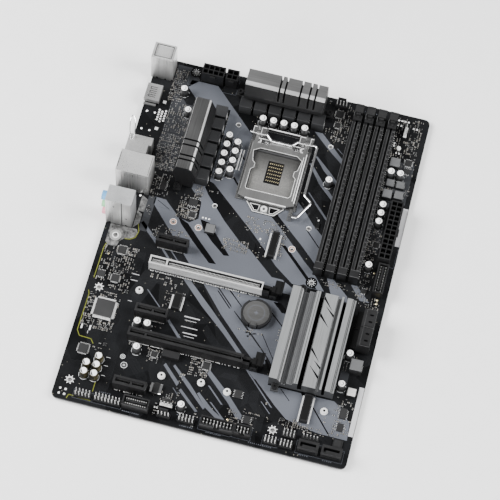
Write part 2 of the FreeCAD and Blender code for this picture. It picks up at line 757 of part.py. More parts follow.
# Pin headers along the bottom edge: low corner, columns and rows.
OPEN_HEADERS = (
    ((16.6, 4.4), 5, 2),
    ((31.6, 4.4), 8, 2),
    ((95.4, 4.6), 5, 2),
    ((160.4, 4.6), 4, 2),
    ((172.2, 4.6), 4, 2),
    ((172.6, 13.0), 4, 2),
    ((187.2, 15.2), 5, 1),
)
# Headers with a wall around their pins.
WALLED_HEADERS = (
    ((112.4, 4.2), 9, 2),
    ((138.0, 4.6), 4, 2),
)
# Headers for fans and lights: low corner, number of pins, and along which axis.
FAN_HEADERS = (
    ((79.6, 12.4), 4, "x"),
    ((79.6, 4.4), 4, "x"),
    ((205.4, 282.4), 4, "y"),
    ((147.4, 297.0), 4, "x"),
)


def header_spots(low, columns, rows, inset=0.0):
    pitch = size_of("header_pitch")
    for column in range(columns):
        for row in range(rows):
            yield (low[0] + inset + (column + 0.5) * pitch, low[1] + inset + (row + 0.5) * pitch)


def make_headers():
    pitch = size_of("header_pitch")
    bases = []
    pins = []
    walls = []
    fans = []
    top = size_of("header_height")
    pin_half = size_of("pin_side") / 2
    pin_length = size_of("pin_height") - top

    def add_pin(x, y, level):
        pins.append(box(("dims.pin_side", "dims.pin_side", pin_length),
                        (x - pin_half, y - pin_half, level), "pin"))

    for low, columns, rows in OPEN_HEADERS:
        bases.append(box((columns * pitch, rows * pitch, "dims.header_height"), (*low, 0), "base"))
        for x, y in header_spots(low, columns, rows):
            add_pin(x, y, top)
    for low, columns, rows in WALLED_HEADERS:
        shell = box((columns * pitch + 2.4, rows * pitch + 2.4, 8.6), (*low, 0), "wall")
        well = span((low[0] + 1.0, low[1] + 1.0, top),
                    (low[0] + columns * pitch + 1.4, low[1] + rows * pitch + 1.4, 9.0), "well")
        notch = span((low[0] + columns * pitch / 2 - 1.0, low[1] - 0.5, 4.0),
                     (low[0] + columns * pitch / 2 + 3.4, low[1] + 1.5, 9.0), "notch")
        walls.append(cut(shell, [well, notch], "walled_header"))
        for x, y in header_spots(low, columns, rows, 1.2):
            add_pin(x, y, top)
    for low, count, axis in FAN_HEADERS:
        long_side = count * pitch
        if axis == "x":
            base = span((*low, 0), (low[0] + long_side, low[1] + 3.4, 3.2), "fan_base")
            tab = span((low[0] + 1.4, low[1] + 3.2, 0), (low[0] + 8.0, low[1] + 4.4, 9.6), "fan_tab")
            spots = [(low[0] + (k + 0.5) * pitch, low[1] + 1.6) for k in range(count)]
        else:
            base = span((*low, 0), (low[0] + 3.4, low[1] + long_side, 3.2), "fan_base")
            tab = span((low[0] + 3.2, low[1] + 1.4, 0), (low[0] + 4.4, low[1] + 8.0, 9.6), "fan_tab")
            spots = [(low[0] + 1.6, low[1] + (k + 0.5) * pitch) for k in range(count)]
        fans.append(fuse([base, tab], "fan_header"))
        for x, y in spots:
            add_pin(x, y, 3.2)
    for x, y in usb3_pin_spots():
        add_pin(x, y, 1.2)
    keep(group(bases, "pin_header_bases"), "pin_header_bases")
    keep(group(walls, "box_headers"), "box_headers")
    keep(group(fans, "fan_headers"), "fan_headers")
    keep(group(pins, "header_pins"), "header_pins")


make_usb3_headers()
make_sata_block()
make_sata_edge()
make_headers()

# ---------------------------------------------------------------- heatsinks

SINK_FOOT = 2.3
HUB_FOOT = 2.1


def make_left_sink():
    """The bar over the left power stages, with slits across its crown."""
    bar = prism("left_bar", "XZ_Plane",
                ((42.6, SINK_FOOT), (42.6, 12.0), (40.2, 17.5), (43.3, "dims.vrm_height"),
                 (53.8, "dims.vrm_height"), (55.0, 28.9), (59.0, 17.5), (59.0, 12.6),
                 (56.8, 12.2), (56.8, SINK_FOOT)),
                "dims.left_sink_length", (0, 195.4, 0), backwards=True)
    slits = []
    for y in (221.1, 216.2, 207.0, 203.1):
        slits.append(box((24.0, "dims.vrm_slit", 16.0), (38.0, y - 0.7, 18.0), "slit"))
    arm = span((42.6, 189.8, SINK_FOOT), (48.4, 196.0, 4.4), "arm")
    far_arm = span((42.6, 259.0, SINK_FOOT), (48.4, 265.4, 4.4), "arm")
    blank = fuse([bar, arm, far_arm], "left_blank")
    holes = [rod(1.3, 6.0, (x, y, 0.5), name="pin_hole") for x, y in PUSH_PINS[0:2]]
    keep(cut(blank, slits + holes, "vrm_heatsink_left"), "vrm_heatsink_left")


def make_top_sink():
    """The bar over the upper power stages, along the top edge of the board."""
    bar = prism("top_bar", "YZ_Plane",
                ((283.2, SINK_FOOT), (283.2, 12.2), (278.6, 12.6), (278.6, 17.0),
                 (282.2, 28.9), (284.6, "dims.vrm_height"), (295.8, "dims.vrm_height"),
                 (299.4, 17.5), (299.4, SINK_FOOT)),
                "dims.top_sink_length", (76.6, 0, 0))
    slits = []
    for x in (103.7, 108.1, 120.3, 127.5, 132.4):
        slits.append(box(("dims.vrm_slit", 30.0, 16.0), (x - 0.7, 275.0, 18.0), "slit"))
    arm = span((69.6, 284.6, SINK_FOOT), (77.0, 290.4, 4.4), "arm")
    far_arm = span((140.0, 284.6, SINK_FOOT), (147.8, 290.4, 4.4), "arm")
    blank = fuse([bar, arm, far_arm], "top_blank")
    holes = [rod(1.3, 6.0, (x, y, 0.5), name="pin_hole") for x, y in PUSH_PINS[2:4]]
    keep(cut(blank, slits + holes, "vrm_heatsink_top"), "vrm_heatsink_top")


def make_hub_sink():
    """The ribbed cover over the control hub, with slanted slashes in its middle rib."""
    body = prism("hub_bar", "XZ_Plane",
                 ((153.0, HUB_FOOT), (153.0, 14.0), (159.3, 14.0), (159.3, 12.4), (160.7, 12.4),
                  (162.2, 6.6), (166.2, 6.6), (166.4, 10.0), (170.7, 10.0), (170.9, 12.4),
                  (171.8, 12.4), (171.8, 14.0), (174.8, 14.0), (174.8, 4.6), (178.0, 4.6),
                  (178.0, 13.4), (188.7, 13.4), (188.7, 9.6), (190.9, 9.6), (191.2, 14.0),
                  (192.8, 14.0), (193.2, 4.6), (195.4, 4.6), (195.4, 14.0), (200.0, 14.0),
                  (200.0, 12.6), (202.2, 12.6), (202.2, HUB_FOOT)),
                 "dims.hub_sink_length", (0, 51.1, 0), backwards=True)
    cuts = add_sketch(body, "XY_Plane", 13.4)
    for start, end, width in (((178.4, 72.9), (186.4, 64.6), 2.6), ((188.4, 59.2), (180.6, 67.8), 2.4),
                              ((178.4, 58.2), (186.8, 50.2), 3.0), ((178.4, 29.6), (186.4, 21.2), 2.6),
                              ((188.4, 15.4), (181.6, 22.6), 2.2), ((188.4, 7.6), (179.6, 17.8), 2.6)):
        outline(cuts, (start, (start[0], start[1] + width), end))
    pocket(body, cuts, 2.4)
    lug_low = span((155.8, 45.6, HUB_FOOT), (161.4, 52.0, 4.2), "lug")
    lug_high = span((157.6, 128.6, HUB_FOOT), (163.4, 135.4, 4.2), "lug")
    blank = fuse([body, lug_low, lug_high], "hub_blank")
    holes = [rod(1.3, 6.0, (x, y, 0.5), name="pin_hole") for x, y in PUSH_PINS[4:6]]
    keep(cut(blank, holes, "pch_heatsink"), "pch_heatsink")


def make_sink_screws():
    """Sprung shoulder screws that hold the heatsinks down."""
    screws = []
    for x, y in PUSH_PINS:
        shank = rod(1.25, 4.4, (x, y, 0), name="pin_shank")
        head = rod(2.4, 2.4, (x, y, 4.4), name="pin_head")
        cross = rod(1.0, 1.4, (x, y, 5.8), name="pin_recess")
        screws.append(cut(fuse([shank, head], "pin_blank"), [cross], "sink_screw"))
    keep(group(screws, "heatsink_screws"), "heatsink_screws")


STAGE_HEIGHT = 0.8


def make_power_stages():
    """The switching chips under the heatsinks, one beside each choke."""
    chips = []
    for index in range(6):
        chips.append(span((46.4, 201.9 + 11.75 * index, 0), (52.4, 206.9 + 11.75 * index, STAGE_HEIGHT),
                          "stage"))
    for index in range(5):
        chips.append(span((85.6 + 11.75 * index, 287.4, 0), (90.6 + 11.75 * index, 293.4, STAGE_HEIGHT),
                          "stage"))
    keep(group(chips, "power_stages"), "power_stages")


def make_thermal_pads():
    left = span((45.4, 199.6, STAGE_HEIGHT), (53.4, 259.0, SINK_FOOT), "pad_left")
    top = span((80.0, 286.4, STAGE_HEIGHT), (138.0, 294.4, SINK_FOOT), "pad_top")
    keep(group([left, top], "thermal_pads"), "thermal_pads")


def make_hub_chip():
    base = span((164.5, 77.0, 0), (190.5, 103.0, 1.1), "hub_carrier")
    die = span((172.5, 85.0, 1.1), (182.5, 95.0, HUB_FOOT), "hub_die")
    keep(fuse([base, die], "pch_chip"), "pch_chip")


make_left_sink()
make_top_sink()
make_hub_sink()
make_sink_screws()
make_power_stages()
make_thermal_pads()
make_hub_chip()

# ---------------------------------------------------------------- chokes and capacitors

CHOKE_PITCH = 11.75
# Chokes away from the processor: low corner, side and height.
SPARE_CHOKES = (
    ((200.6, 254.4), 8.0, 4.6), ((200.8, 225.6), 7.6, 5.0), ((210.0, 226.6), 7.2, 5.0),
    ((208.9, 75.6), 9.4, 7.6), ((211.6, 56.8), 6.6, 2.8), ((201.6, 237.2), 6.6, 2.8),
    ((209.6, 237.2), 6.6, 2.8), ((75.4, 160.6), 7.6, 3.2),
)


def make_chokes():
    blocks = []
    for index in range(6):
        blocks.append(box(("dims.choke_side", "dims.choke_side", "dims.choke_height"),
                          (57.3, 200.4 + CHOKE_PITCH * index, 0), "choke"))
    for index in range(6):
        blocks.append(box(("dims.choke_side", "dims.choke_side", "dims.choke_height"),
                          (74.6 + CHOKE_PITCH * index, 272.0, 0), "choke"))
    for low, side, height in SPARE_CHOKES:
        blocks.append(box((side, side, height), (*low, 0), "small_choke"))
    keep(group(blocks, "chokes"), "chokes")


CAP_PITCH = 8.45
CAP_ROW = [(95.5 + CAP_PITCH * index, 267.2) for index in range(5)]
CAP_COLUMN_LEFT = [(73.7, 211.7 + CAP_PITCH * index) for index in range(5)]
CAP_COLUMN_RIGHT = [(81.5, 215.7 + CAP_PITCH * index) for index in range(4)]
LONE_CAPS = [(28.7, 277.0), (36.4, 259.0), (158.2, 227.3), (203.5, 247.6), (210.9, 247.6),
             (203.6, 217.3), (203.6, 209.7), (203.6, 202.2), (204.2, 163.7), (206.8, 88.0),
             (206.3, 62.4), (46.6, 72.3), (54.3, 72.3), (51.6, 51.9), (95.6, 15.6)]
AUDIO_CAPS = ((26.6, 37.6), (19.1, 30.4), (26.8, 30.4), (19.1, 23.1), (26.9, 23.1))


def can(x, y, radius, height, foot):
    """A round metal can on its square moulded foot."""
    half = number_of(radius)
    base = box((2 * half, 2 * half, foot), (x - half, y - half, 0), "foot")
    barrel = rod(radius, height, (x, y, number_of(foot) - 0.1), name="barrel")
    waist = doc.addObject("Part::Torus", "waist")
    waist.Radius1 = half + 0.15
    waist.Radius2 = 0.35
    waist.Placement = FreeCAD.Placement(at(x, y, 2.0), NO_TURN)
    return cut(fuse([base, barrel], "can_blank"), [waist], "can")


def make_capacitors():
    cans = []
    for x, y in CAP_ROW + CAP_COLUMN_LEFT + CAP_COLUMN_RIGHT + LONE_CAPS:
        cans.append(can(x, y, "dims.cap_radius", "dims.cap_height", "dims.cap_foot"))
    keep(group(cans, "polymer_capacitors"), "polymer_capacitors")
    audio = []
    for x, y in AUDIO_CAPS:
        audio.append(can(x, y, "dims.audio_cap_radius", "dims.audio_cap_height", "dims.cap_foot"))
    keep(group(audio, "audio_capacitors"), "audio_capacitors")


make_chokes()
make_capacitors()

# ---------------------------------------------------------------- chips

# Small chips: centre, width, length and height.
SMALL_CHIPS = (
    ((12.8, 43.4), 7.4, 7.4, 0.9), ((65.2, 52.4), 4.2, 4.4, 0.9), ((105.2, 53.4), 5.4, 5.6, 1.0),
    ((144.8, 19.2), 5.0, 6.0, 1.1), ((212.6, 42.4), 5.2, 8.2, 1.8), ((212.8, 31.2), 4.8, 6.2, 1.1),
    ((60.6, 184.0), 7.0, 6.0, 0.9), ((62.4, 173.6), 5.0, 5.0, 0.9), ((18.8, 130.0), 6.4, 6.4, 0.9),
    ((34.4, 192.4), 4.0, 8.6, 1.6), ((133.8, 37.4), 5.4, 6.4, 1.0), ((152.8, 291.4), 6.0, 6.0, 0.9),
    ((215.0, 262.4), 5.4, 5.4, 1.0), ((215.0, 254.8), 5.4, 4.4, 1.0), ((8.6, 106.6), 6.0, 5.0, 0.9),
    ((20.0, 105.6), 6.0, 6.0, 0.9), ((205.8, 185.4), 4.4, 4.4, 0.9), ((205.2, 144.4), 4.4, 3.6, 0.9),
    ((213.8, 18.2), 5.0, 5.0, 1.4), ((153.4, 281.0), 4.4, 4.4, 0.9),
)


def make_chips():
    body = span((11.9, 71.9, 0.1), (26.1, 86.1, 1.5), "super_io_body")
    bevel = doc.addObject("Part::Chamfer", "super_io_chip")
    bevel.Base = body
    doc.recompute()
    upper = []
    for number, edge in enumerate(body.Shape.Edges, start=1):
        if min(vertex.Z for vertex in edge.Vertexes) > TOP_Z + 1.4:
            upper.append((number, 0.25, 0.25))
    bevel.Edges = upper
    keep(bevel, "super_io_chip")
    chips = []
    for (x, y), width, length, height in SMALL_CHIPS:
        chips.append(span((x - width / 2, y - length / 2, 0), (x + width / 2, y + length / 2, height),
                          "chip"))
    keep(group(chips, "small_chips"), "small_chips")


make_chips()

# ---------------------------------------------------------------- clock battery

CELL_X = 130.9
CELL_Y = 103.6
HOLDER_FLOOR = 1.2


def make_battery():
    outer = size_of("cell_radius") + 1.7
    cup = rod(outer, 4.6, (CELL_X, CELL_Y, 0), name="cup")
    seat = rod("dims.cell_radius + 0.15", 5.0, (CELL_X, CELL_Y, HOLDER_FLOOR), name="seat")
    gap = span((CELL_X - 3.6, CELL_Y - 14.0, 0.6), (CELL_X + 3.6, CELL_Y - 9.0, 6.0), "clip_gap")
    finger = span((CELL_X - 7.0, CELL_Y + 6.0, 2.2), (CELL_X - 2.6, CELL_Y + 13.0, 6.0), "finger_gap")
    keep(cut(cup, [seat, gap, finger], "battery_holder"), "battery_holder")
    cell = rod("dims.cell_radius", "dims.cell_thick", (CELL_X, CELL_Y, HOLDER_FLOOR), name="cell")
    rim = rod(8.6, 0.25, (CELL_X, CELL_Y, HOLDER_FLOOR + 3.2), name="rim")
    keep(fuse([cell, rim], "battery"), "battery")


CLIP_Y = CELL_Y - 10.9


def make_battery_clip():
    """The sprung clip at the edge of the cell, turning on its foot."""
    leaf = span((CELL_X - 2.6, CLIP_Y - 0.3, 1.0), (CELL_X + 2.6, CLIP_Y + 0.3, 5.9), "leaf")
    lip = span((CELL_X - 1.8, CLIP_Y - 0.3, 5.3), (CELL_X + 1.8, CLIP_Y + 2.4, 5.9), "lip")
    foot = rod(0.38, 5.2, (CELL_X - 2.6, CLIP_Y, 1.0), "x", "foot")
    keep(fuse([leaf, lip, foot], "battery_clip"), "battery_clip")


make_battery()
make_battery_clip()

# ---------------------------------------------------------------- rear connectors


def usb_hole(shell_x, centre_y, level):
    """The open mouth of one port, from the rear face inwards."""
    half = size_of("usb_width") / 2
    return box(("dims.port_depth", "dims.usb_width", "dims.usb_height"),
               (shell_x - 0.5, centre_y - half, level), "usb_mouth")


def make_round_port_stack():
    """Keyboard socket over two flat ports."""
    shell = span((-1.0, 285.5, 0), (16.6, 300.1, 29.5), "stack_shell")
    recess = span((1.4, 287.6, 28.9), (14.6, 298.2, 31.0), "roof_recess")
    round_hole = rod(4.9, "dims.port_depth", (-1.5, 292.8, 22.0), "x", "round_hole")
    tools = [recess, round_hole, usb_hole(-1.0, 292.8, 2.0), usb_hole(-1.0, 292.8, 9.4)]
    keep(cut(shell, tools, "ps2_usb_stack"), "ps2_usb_stack")


def make_video_port():
    body = prism("video_shell", "YZ_Plane",
                 ((260.6, 3.2), (262.4, 0.2), (273.8, 0.2), (275.6, 3.2), (275.6, 6.9), (260.6, 6.9)),
                 12.2, (-0.4, 0, 0))
    hole = span((-1.0, 261.6, 1.6), (9.4, 274.6, 5.9), "video_mouth")
    ledge = span((-0.4, 259.0, 0), (9.6, 260.8, 1.4), "video_ledge")
    keep(fuse([cut(body, [hole], "video_open"), ledge], "video_port"), "video_port")


def make_usb_port():
    shell = span((-1.0, 207.8, 0), (18.2, 222.6, 15.4), "dual_shell")
    corner = span((15.8, 207.0, -1), (19.0, 215.6, 16.0), "corner")
    tools = [corner, usb_hole(-1.0, 215.2, 2.0), usb_hole(-1.0, 215.2, 9.0)]
    keep(cut(shell, tools, "usb3_port"), "usb3_port")


def make_lan_stack():
    """Network socket over two flat ports, in one folded steel shell."""
    shell = span((-0.8, 181.1, 0), (25.2, 199.9, 29.6), "lan_shell")
    network = span((-1.5, 184.6, 17.0), (13.5, 196.4, 25.4), "network_mouth")
    catch = span((-1.5, 187.5, 25.2), (6.0, 193.5, 27.8), "network_catch")
    tools = [network, catch, usb_hole(-0.8, 190.5, 2.0), usb_hole(-0.8, 190.5, 9.6)]
    keep(cut(shell, tools, "lan_usb_stack"), "lan_usb_stack")


JACK_Y = 157.3
JACK_LEVELS = (6.6, 18.1, 29.6)
# The seats end one behind the other, the lowest first.
JACK_SEATS = (14.6, 15.8, 17.0)
JACK_COLLAR = 3.7
JACK_BARREL = 3.0


def make_audio_block():
    block = span((-0.3, 150.6, 0), (20.3, 164.2, 36.0), "audio_shell")
    tools = []
    for level, depth in zip(JACK_LEVELS, JACK_SEATS):
        tools.append(rod(JACK_BARREL, depth, (-0.6, JACK_Y, level), "x", "barrel_seat"))
    keep(cut(block, tools, "audio_jack_block"), "audio_jack_block")


def make_jack_barrels():
    """Three coloured barrels, each with a bore for a plug."""
    start = -size_of("jack_overhang")
    barrels = []
    for level in JACK_LEVELS:
        collar = rod(JACK_COLLAR, -0.3 - start, (start, JACK_Y, level), "x", "collar")
        sleeve = rod(JACK_BARREL, 14.0 - start, (start, JACK_Y, level), "x", "sleeve")
        bore = rod("dims.jack_bore", 16.0, (start - 1.0, JACK_Y, level), "x", "plug_bore")
        barrels.append(cut(fuse([collar, sleeve], "barrel_blank"), [bore], "barrel"))
    keep(group(barrels, "jack_barrels"), "jack_barrels")


make_round_port_stack()
make_video_port()
make_usb_port()
make_lan_stack()
make_audio_block()
make_jack_barrels()

# ---------------------------------------------------------------- leads under the board

# Corners of each soldered part: low corner, high corner, across the leads of which it stands.
LEAD_AREAS = (
    ((2.0, 287.0), (15.0, 298.6)), ((2.0, 262.5), (10.0, 273.6)), ((2.0, 209.6), (14.0, 220.8)),
    ((2.0, 183.0), (22.0, 198.0)), ((3.0, 153.0), (18.0, 162.0)), ((40.6, 294.0), (66.0, 299.0)),
    ((211.8, 171.2), (216.0, 218.0)), ((213.2, 144.0), (218.0, 165.4)), ((207.0, 94.0), (217.0, 123.0)),
    ((188.0, 7.0), (217.0, 10.4)), ((167.6, 150.6), (195.4, 292.6)), ((44.6, 120.8), (128.6, 125.2)),
    ((44.6, 59.8), (128.6, 64.2)), ((19.0, 6.0), (50.0, 8.4)), ((98.0, 6.0), (146.0, 9.0)),
    ((122.0, 96.0), (139.8, 111.0)),
)


def make_solder_tails():
    """The longest leads, which the board stands on."""
    tails = []
    for low, high in LEAD_AREAS:
        for x in (low[0], high[0]):
            for y in (low[1], high[1]):
                cone = doc.addObject("Part::Cone", "tail")
                cone.Radius1 = 0.45
                cone.Radius2 = 0.95
                cone.setExpression("Height", "dims.tail_length")
                cone.Placement = FreeCAD.Placement(at(x, y, -TOP_Z), NO_TURN)
                tails.append(cone)
    keep(group(tails, "solder_tails"), "solder_tails")


make_solder_tails()

# ---------------------------------------------------------------- checks and files

doc.recompute()
for item in doc.Objects:
    if "Invalid" in item.State or "Error" in item.State:
        raise RuntimeError("failed object: " + item.Label)
for node in nodes:
    if node.Shape.isNull() or not node.Shape.isValid():
        raise RuntimeError("bad shape: " + node.Label)
for node in nodes:
    node.Shape.exportStep("parts/%s.step" % node.Label)
whole = FreeCAD.BoundBox()
for node in nodes:
    whole.add(node.Shape.BoundBox)
print(len(nodes), "nodes, box", whole)
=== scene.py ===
import math
import random

import bmesh
import bpy
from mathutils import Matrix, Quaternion, Vector


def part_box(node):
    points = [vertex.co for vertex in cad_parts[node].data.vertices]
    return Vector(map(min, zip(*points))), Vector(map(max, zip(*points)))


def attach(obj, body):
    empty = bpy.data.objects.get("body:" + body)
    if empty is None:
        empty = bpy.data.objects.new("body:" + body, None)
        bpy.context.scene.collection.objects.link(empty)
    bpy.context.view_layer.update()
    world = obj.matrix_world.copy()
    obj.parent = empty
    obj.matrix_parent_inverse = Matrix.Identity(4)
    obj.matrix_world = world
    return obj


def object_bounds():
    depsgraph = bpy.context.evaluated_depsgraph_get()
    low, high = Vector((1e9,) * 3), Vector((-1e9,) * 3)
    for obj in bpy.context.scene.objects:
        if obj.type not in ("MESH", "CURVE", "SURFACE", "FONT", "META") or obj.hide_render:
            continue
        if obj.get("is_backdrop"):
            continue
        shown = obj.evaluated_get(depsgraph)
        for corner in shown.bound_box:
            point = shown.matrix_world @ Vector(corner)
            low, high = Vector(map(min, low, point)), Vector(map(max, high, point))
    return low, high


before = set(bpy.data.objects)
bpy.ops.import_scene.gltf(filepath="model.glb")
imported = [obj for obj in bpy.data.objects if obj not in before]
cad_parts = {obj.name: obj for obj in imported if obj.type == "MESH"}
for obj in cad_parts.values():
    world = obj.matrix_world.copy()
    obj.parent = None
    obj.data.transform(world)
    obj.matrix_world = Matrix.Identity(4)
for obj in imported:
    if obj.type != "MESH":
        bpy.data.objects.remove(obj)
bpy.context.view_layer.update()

# Places are board millimetres: x from the rear edge, y from the bottom edge, z up from the top face.
MM = 0.001
BOARD_LOW, BOARD_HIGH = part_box("pcb")
BOARD_THICK = (BOARD_HIGH.z - BOARD_LOW.z) / MM
UNDER = -BOARD_THICK
chance = random.Random(20)


def at(x, y, z=0.0):
    """A place on the board as a point of the row frame, in metres."""
    return Vector((BOARD_LOW.x + x * MM, BOARD_LOW.y + y * MM, BOARD_HIGH.z + z * MM))


def board_mm(point):
    return ((point.x - BOARD_LOW.x) / MM, (point.y - BOARD_LOW.y) / MM, (point.z - BOARD_HIGH.z) / MM)


# ---------------------------------------------------------------- materials

class Nodes:
    """Builds one material; values may be numbers or sockets."""

    def __init__(self, name):
        self.material = bpy.data.materials.new(name)
        self.material.use_nodes = True
        self.tree = self.material.node_tree
        self.shader = self.tree.nodes["Principled BSDF"]
        self.place = self.tree.nodes.new("ShaderNodeTexCoord").outputs["Object"]

    def link(self, source, target):
        self.tree.links.new(source, target)

    def scaled(self, stretch):
        if isinstance(stretch, (int, float)):
            stretch = (stretch,) * 3
        node = self.tree.nodes.new("ShaderNodeMapping")
        node.inputs["Scale"].default_value = stretch
        self.link(self.place, node.inputs["Vector"])
        return node.outputs["Vector"]

    def noise(self, stretch, detail=3.0, rough=0.55):
        node = self.tree.nodes.new("ShaderNodeTexNoise")
        node.inputs["Scale"].default_value = 1.0
        node.inputs["Detail"].default_value = detail
        node.inputs["Roughness"].default_value = rough
        self.link(self.scaled(stretch), node.inputs["Vector"])
        return node.outputs["Fac"]

    def cells(self, stretch, spread=1.0):
        node = self.tree.nodes.new("ShaderNodeTexVoronoi")
        node.inputs["Scale"].default_value = 1.0
        node.inputs["Randomness"].default_value = spread
        self.link(self.scaled(stretch), node.inputs["Vector"])
        return node

    def math(self, kind, *values):
        node = self.tree.nodes.new("ShaderNodeMath")
        node.operation = kind
        for socket, value in zip(node.inputs, values):
            if isinstance(value, (int, float)):
                socket.default_value = value
            else:
                self.link(value, socket)
        return node.outputs[0]

    def times(self, first, second):
        return self.math("MULTIPLY", first, second)

    def plus(self, first, second):
        return self.math("ADD", first, second)

    def above(self, first, second):
        return self.math("GREATER_THAN", first, second)

    def below(self, first, second):
        return self.math("LESS_THAN", first, second)

    def parts(self, colour):
        """The red, green and blue of a colour."""
        node = self.tree.nodes.new("ShaderNodeSeparateColor")
        self.link(colour, node.inputs[0])
        return node.outputs

    def remap(self, value, low, high, to_low, to_high):
        node = self.tree.nodes.new("ShaderNodeMapRange")
        for name, number in (("From Min", low), ("From Max", high), ("To Min", to_low), ("To Max", to_high)):
            node.inputs[name].default_value = number
        self.link(value, node.inputs["Value"])
        return node.outputs["Result"]

    def blend(self, share, first, second):
        """A colour between two colours; either may be a socket."""
        node = self.tree.nodes.new("ShaderNodeMix")
        node.data_type = "RGBA"
        for socket, value in ((node.inputs[0], share), (node.inputs[6], first), (node.inputs[7], second)):
            if hasattr(value, "links"):
                self.link(value, socket)
            elif isinstance(value, (int, float)):
                socket.default_value = value
            else:
                socket.default_value = (*value, 1.0)
        return node.outputs[2]

    def bump(self, height, strength, distance):
        node = self.tree.nodes.new("ShaderNodeBump")
        node.inputs["Strength"].default_value = strength
        node.inputs["Distance"].default_value = distance
        self.link(height, node.inputs["Height"])
        self.link(node.outputs["Normal"], self.shader.inputs["Normal"])

    def axis(self, name):
        node = self.tree.nodes.new("ShaderNodeSeparateXYZ")
        self.link(self.place, node.inputs[0])
        return node.outputs[name]

    def facing_up(self):
        geometry = self.tree.nodes.new("ShaderNodeNewGeometry")
        split = self.tree.nodes.new("ShaderNodeSeparateXYZ")
        self.link(geometry.outputs["Normal"], split.inputs[0])
        return split.outputs["Z"]

    def colour(self, value):
        self.link(value, self.shader.inputs["Base Color"])

    def set(self, **values):
        for name, value in values.items():
            self.shader.inputs[name.replace("_", " ")].default_value = value


def shade(colour, factor):
    return tuple(min(1.0, c * factor) for c in colour)


def surface(name, colour, rough, metal=0.0, grain=900, spread=0.25, bump=0.25,
            depth=0.00006, rough_spread=0.12, stain=60.0, specular=0.5, painted_shade=None):
    """A moulded, brushed or cast finish: grain, slow colour drift and uneven gloss.

    The last argument, (low, high, darkest), paints shade into the colour, darker toward the board.
    """
    nodes = Nodes(name)
    if isinstance(grain, (int, float)):
        grain = (grain,) * 3
    nodes.set(Metallic=metal, Specular_IOR_Level=specular)
    fine = nodes.noise(grain, 4.0, 0.6)
    slow = nodes.noise(stain, 2.0)
    mixed = nodes.plus(nodes.times(fine, 0.6), nodes.times(slow, 0.4))
    share = nodes.remap(mixed, 0.32, 0.68, 0.0, 1.0)
    tone = nodes.blend(share, shade(colour, 1 - spread), shade(colour, 1 + spread))
    # Painted shade: the colour darkens toward the board, down to the darkest share at the low level.
    if painted_shade:
        level = nodes.remap(nodes.axis("Z"), at(0, 0, painted_shade[0]).z, at(0, 0, painted_shade[1]).z, painted_shade[2], 1.0)
        level = nodes.math("MINIMUM", nodes.plus(level, nodes.times(slow, 0.15)), 1.0)
        tone = nodes.blend(level, (0.004, 0.004, 0.004), tone)
    nodes.colour(tone)
    nodes.link(nodes.remap(mixed, 0.3, 0.7, max(0.02, rough - rough_spread), min(1, rough + rough_spread)),
               nodes.shader.inputs["Roughness"])
    nodes.bump(fine, bump, depth)
    return nodes.material


def brushed(name, colour, rough=0.34, axis=1, fine=2600.0, metal=1.0, spread=0.14, bump=0.18, painted_shade=None):
    """Metal with fine lines drawn along one axis."""
    grain = [fine, fine, fine]
    grain[axis] = 24.0
    return surface(name, colour, rough, metal, tuple(grain), spread, bump, 0.00003, 0.1, 30.0, painted_shade=painted_shade)


def mask_material():
    """Solder mask over copper: runs of fine traces, plated through holes and a deep gloss."""
    nodes = Nodes("board_mask")
    nodes.set(Specular_IOR_Level=0.16, Coat_Weight=0.06, Coat_Roughness=0.05)
    x, y = nodes.axis("X"), nodes.axis("Y")
    diagonal = nodes.plus(x, y)
    field = nodes.cells(46)
    split = nodes.parts(field.outputs["Color"])
    runs = []
    for direction in (x, y, diagonal):
        wave = nodes.math("SINE", nodes.times(direction, 7200.0))
        runs.append(nodes.above(wave, 0.15))
    first = nodes.above(split[0], 0.62)
    second = nodes.above(split[1], 0.62)
    third = nodes.above(split[2], 0.72)
    trace = nodes.math("MAXIMUM", nodes.times(runs[0], first), nodes.times(runs[1], second))
    trace = nodes.math("MAXIMUM", trace, nodes.times(runs[2], third))
    copper = nodes.remap(nodes.noise(38, 1.0), 0.5, 0.53, 0.0, 1.0)
    slow = nodes.noise(14, 2.0)
    base = nodes.blend(slow, (0.003, 0.0031, 0.0034), (0.0045, 0.0047, 0.0052))
    over_copper = nodes.blend(nodes.times(copper, 0.35), base, (0.0085, 0.009, 0.01))
    traced = nodes.blend(nodes.times(trace, 0.5), over_copper, (0.017, 0.0175, 0.019))
    vias = nodes.cells((360, 360, 0))
    ring = nodes.below(vias.outputs["Distance"], 0.13)
    seen = nodes.times(ring, nodes.above(nodes.parts(vias.outputs["Color"])[0], 0.8))
    nodes.colour(nodes.blend(seen, traced, (0.19, 0.18, 0.15)))
    nodes.link(nodes.remap(slow, 0.3, 0.7, 0.16, 0.26), nodes.shader.inputs["Roughness"])
    height = nodes.plus(nodes.times(trace, 0.6), copper)
    nodes.bump(height, 0.12, 0.00003)
    return nodes.material


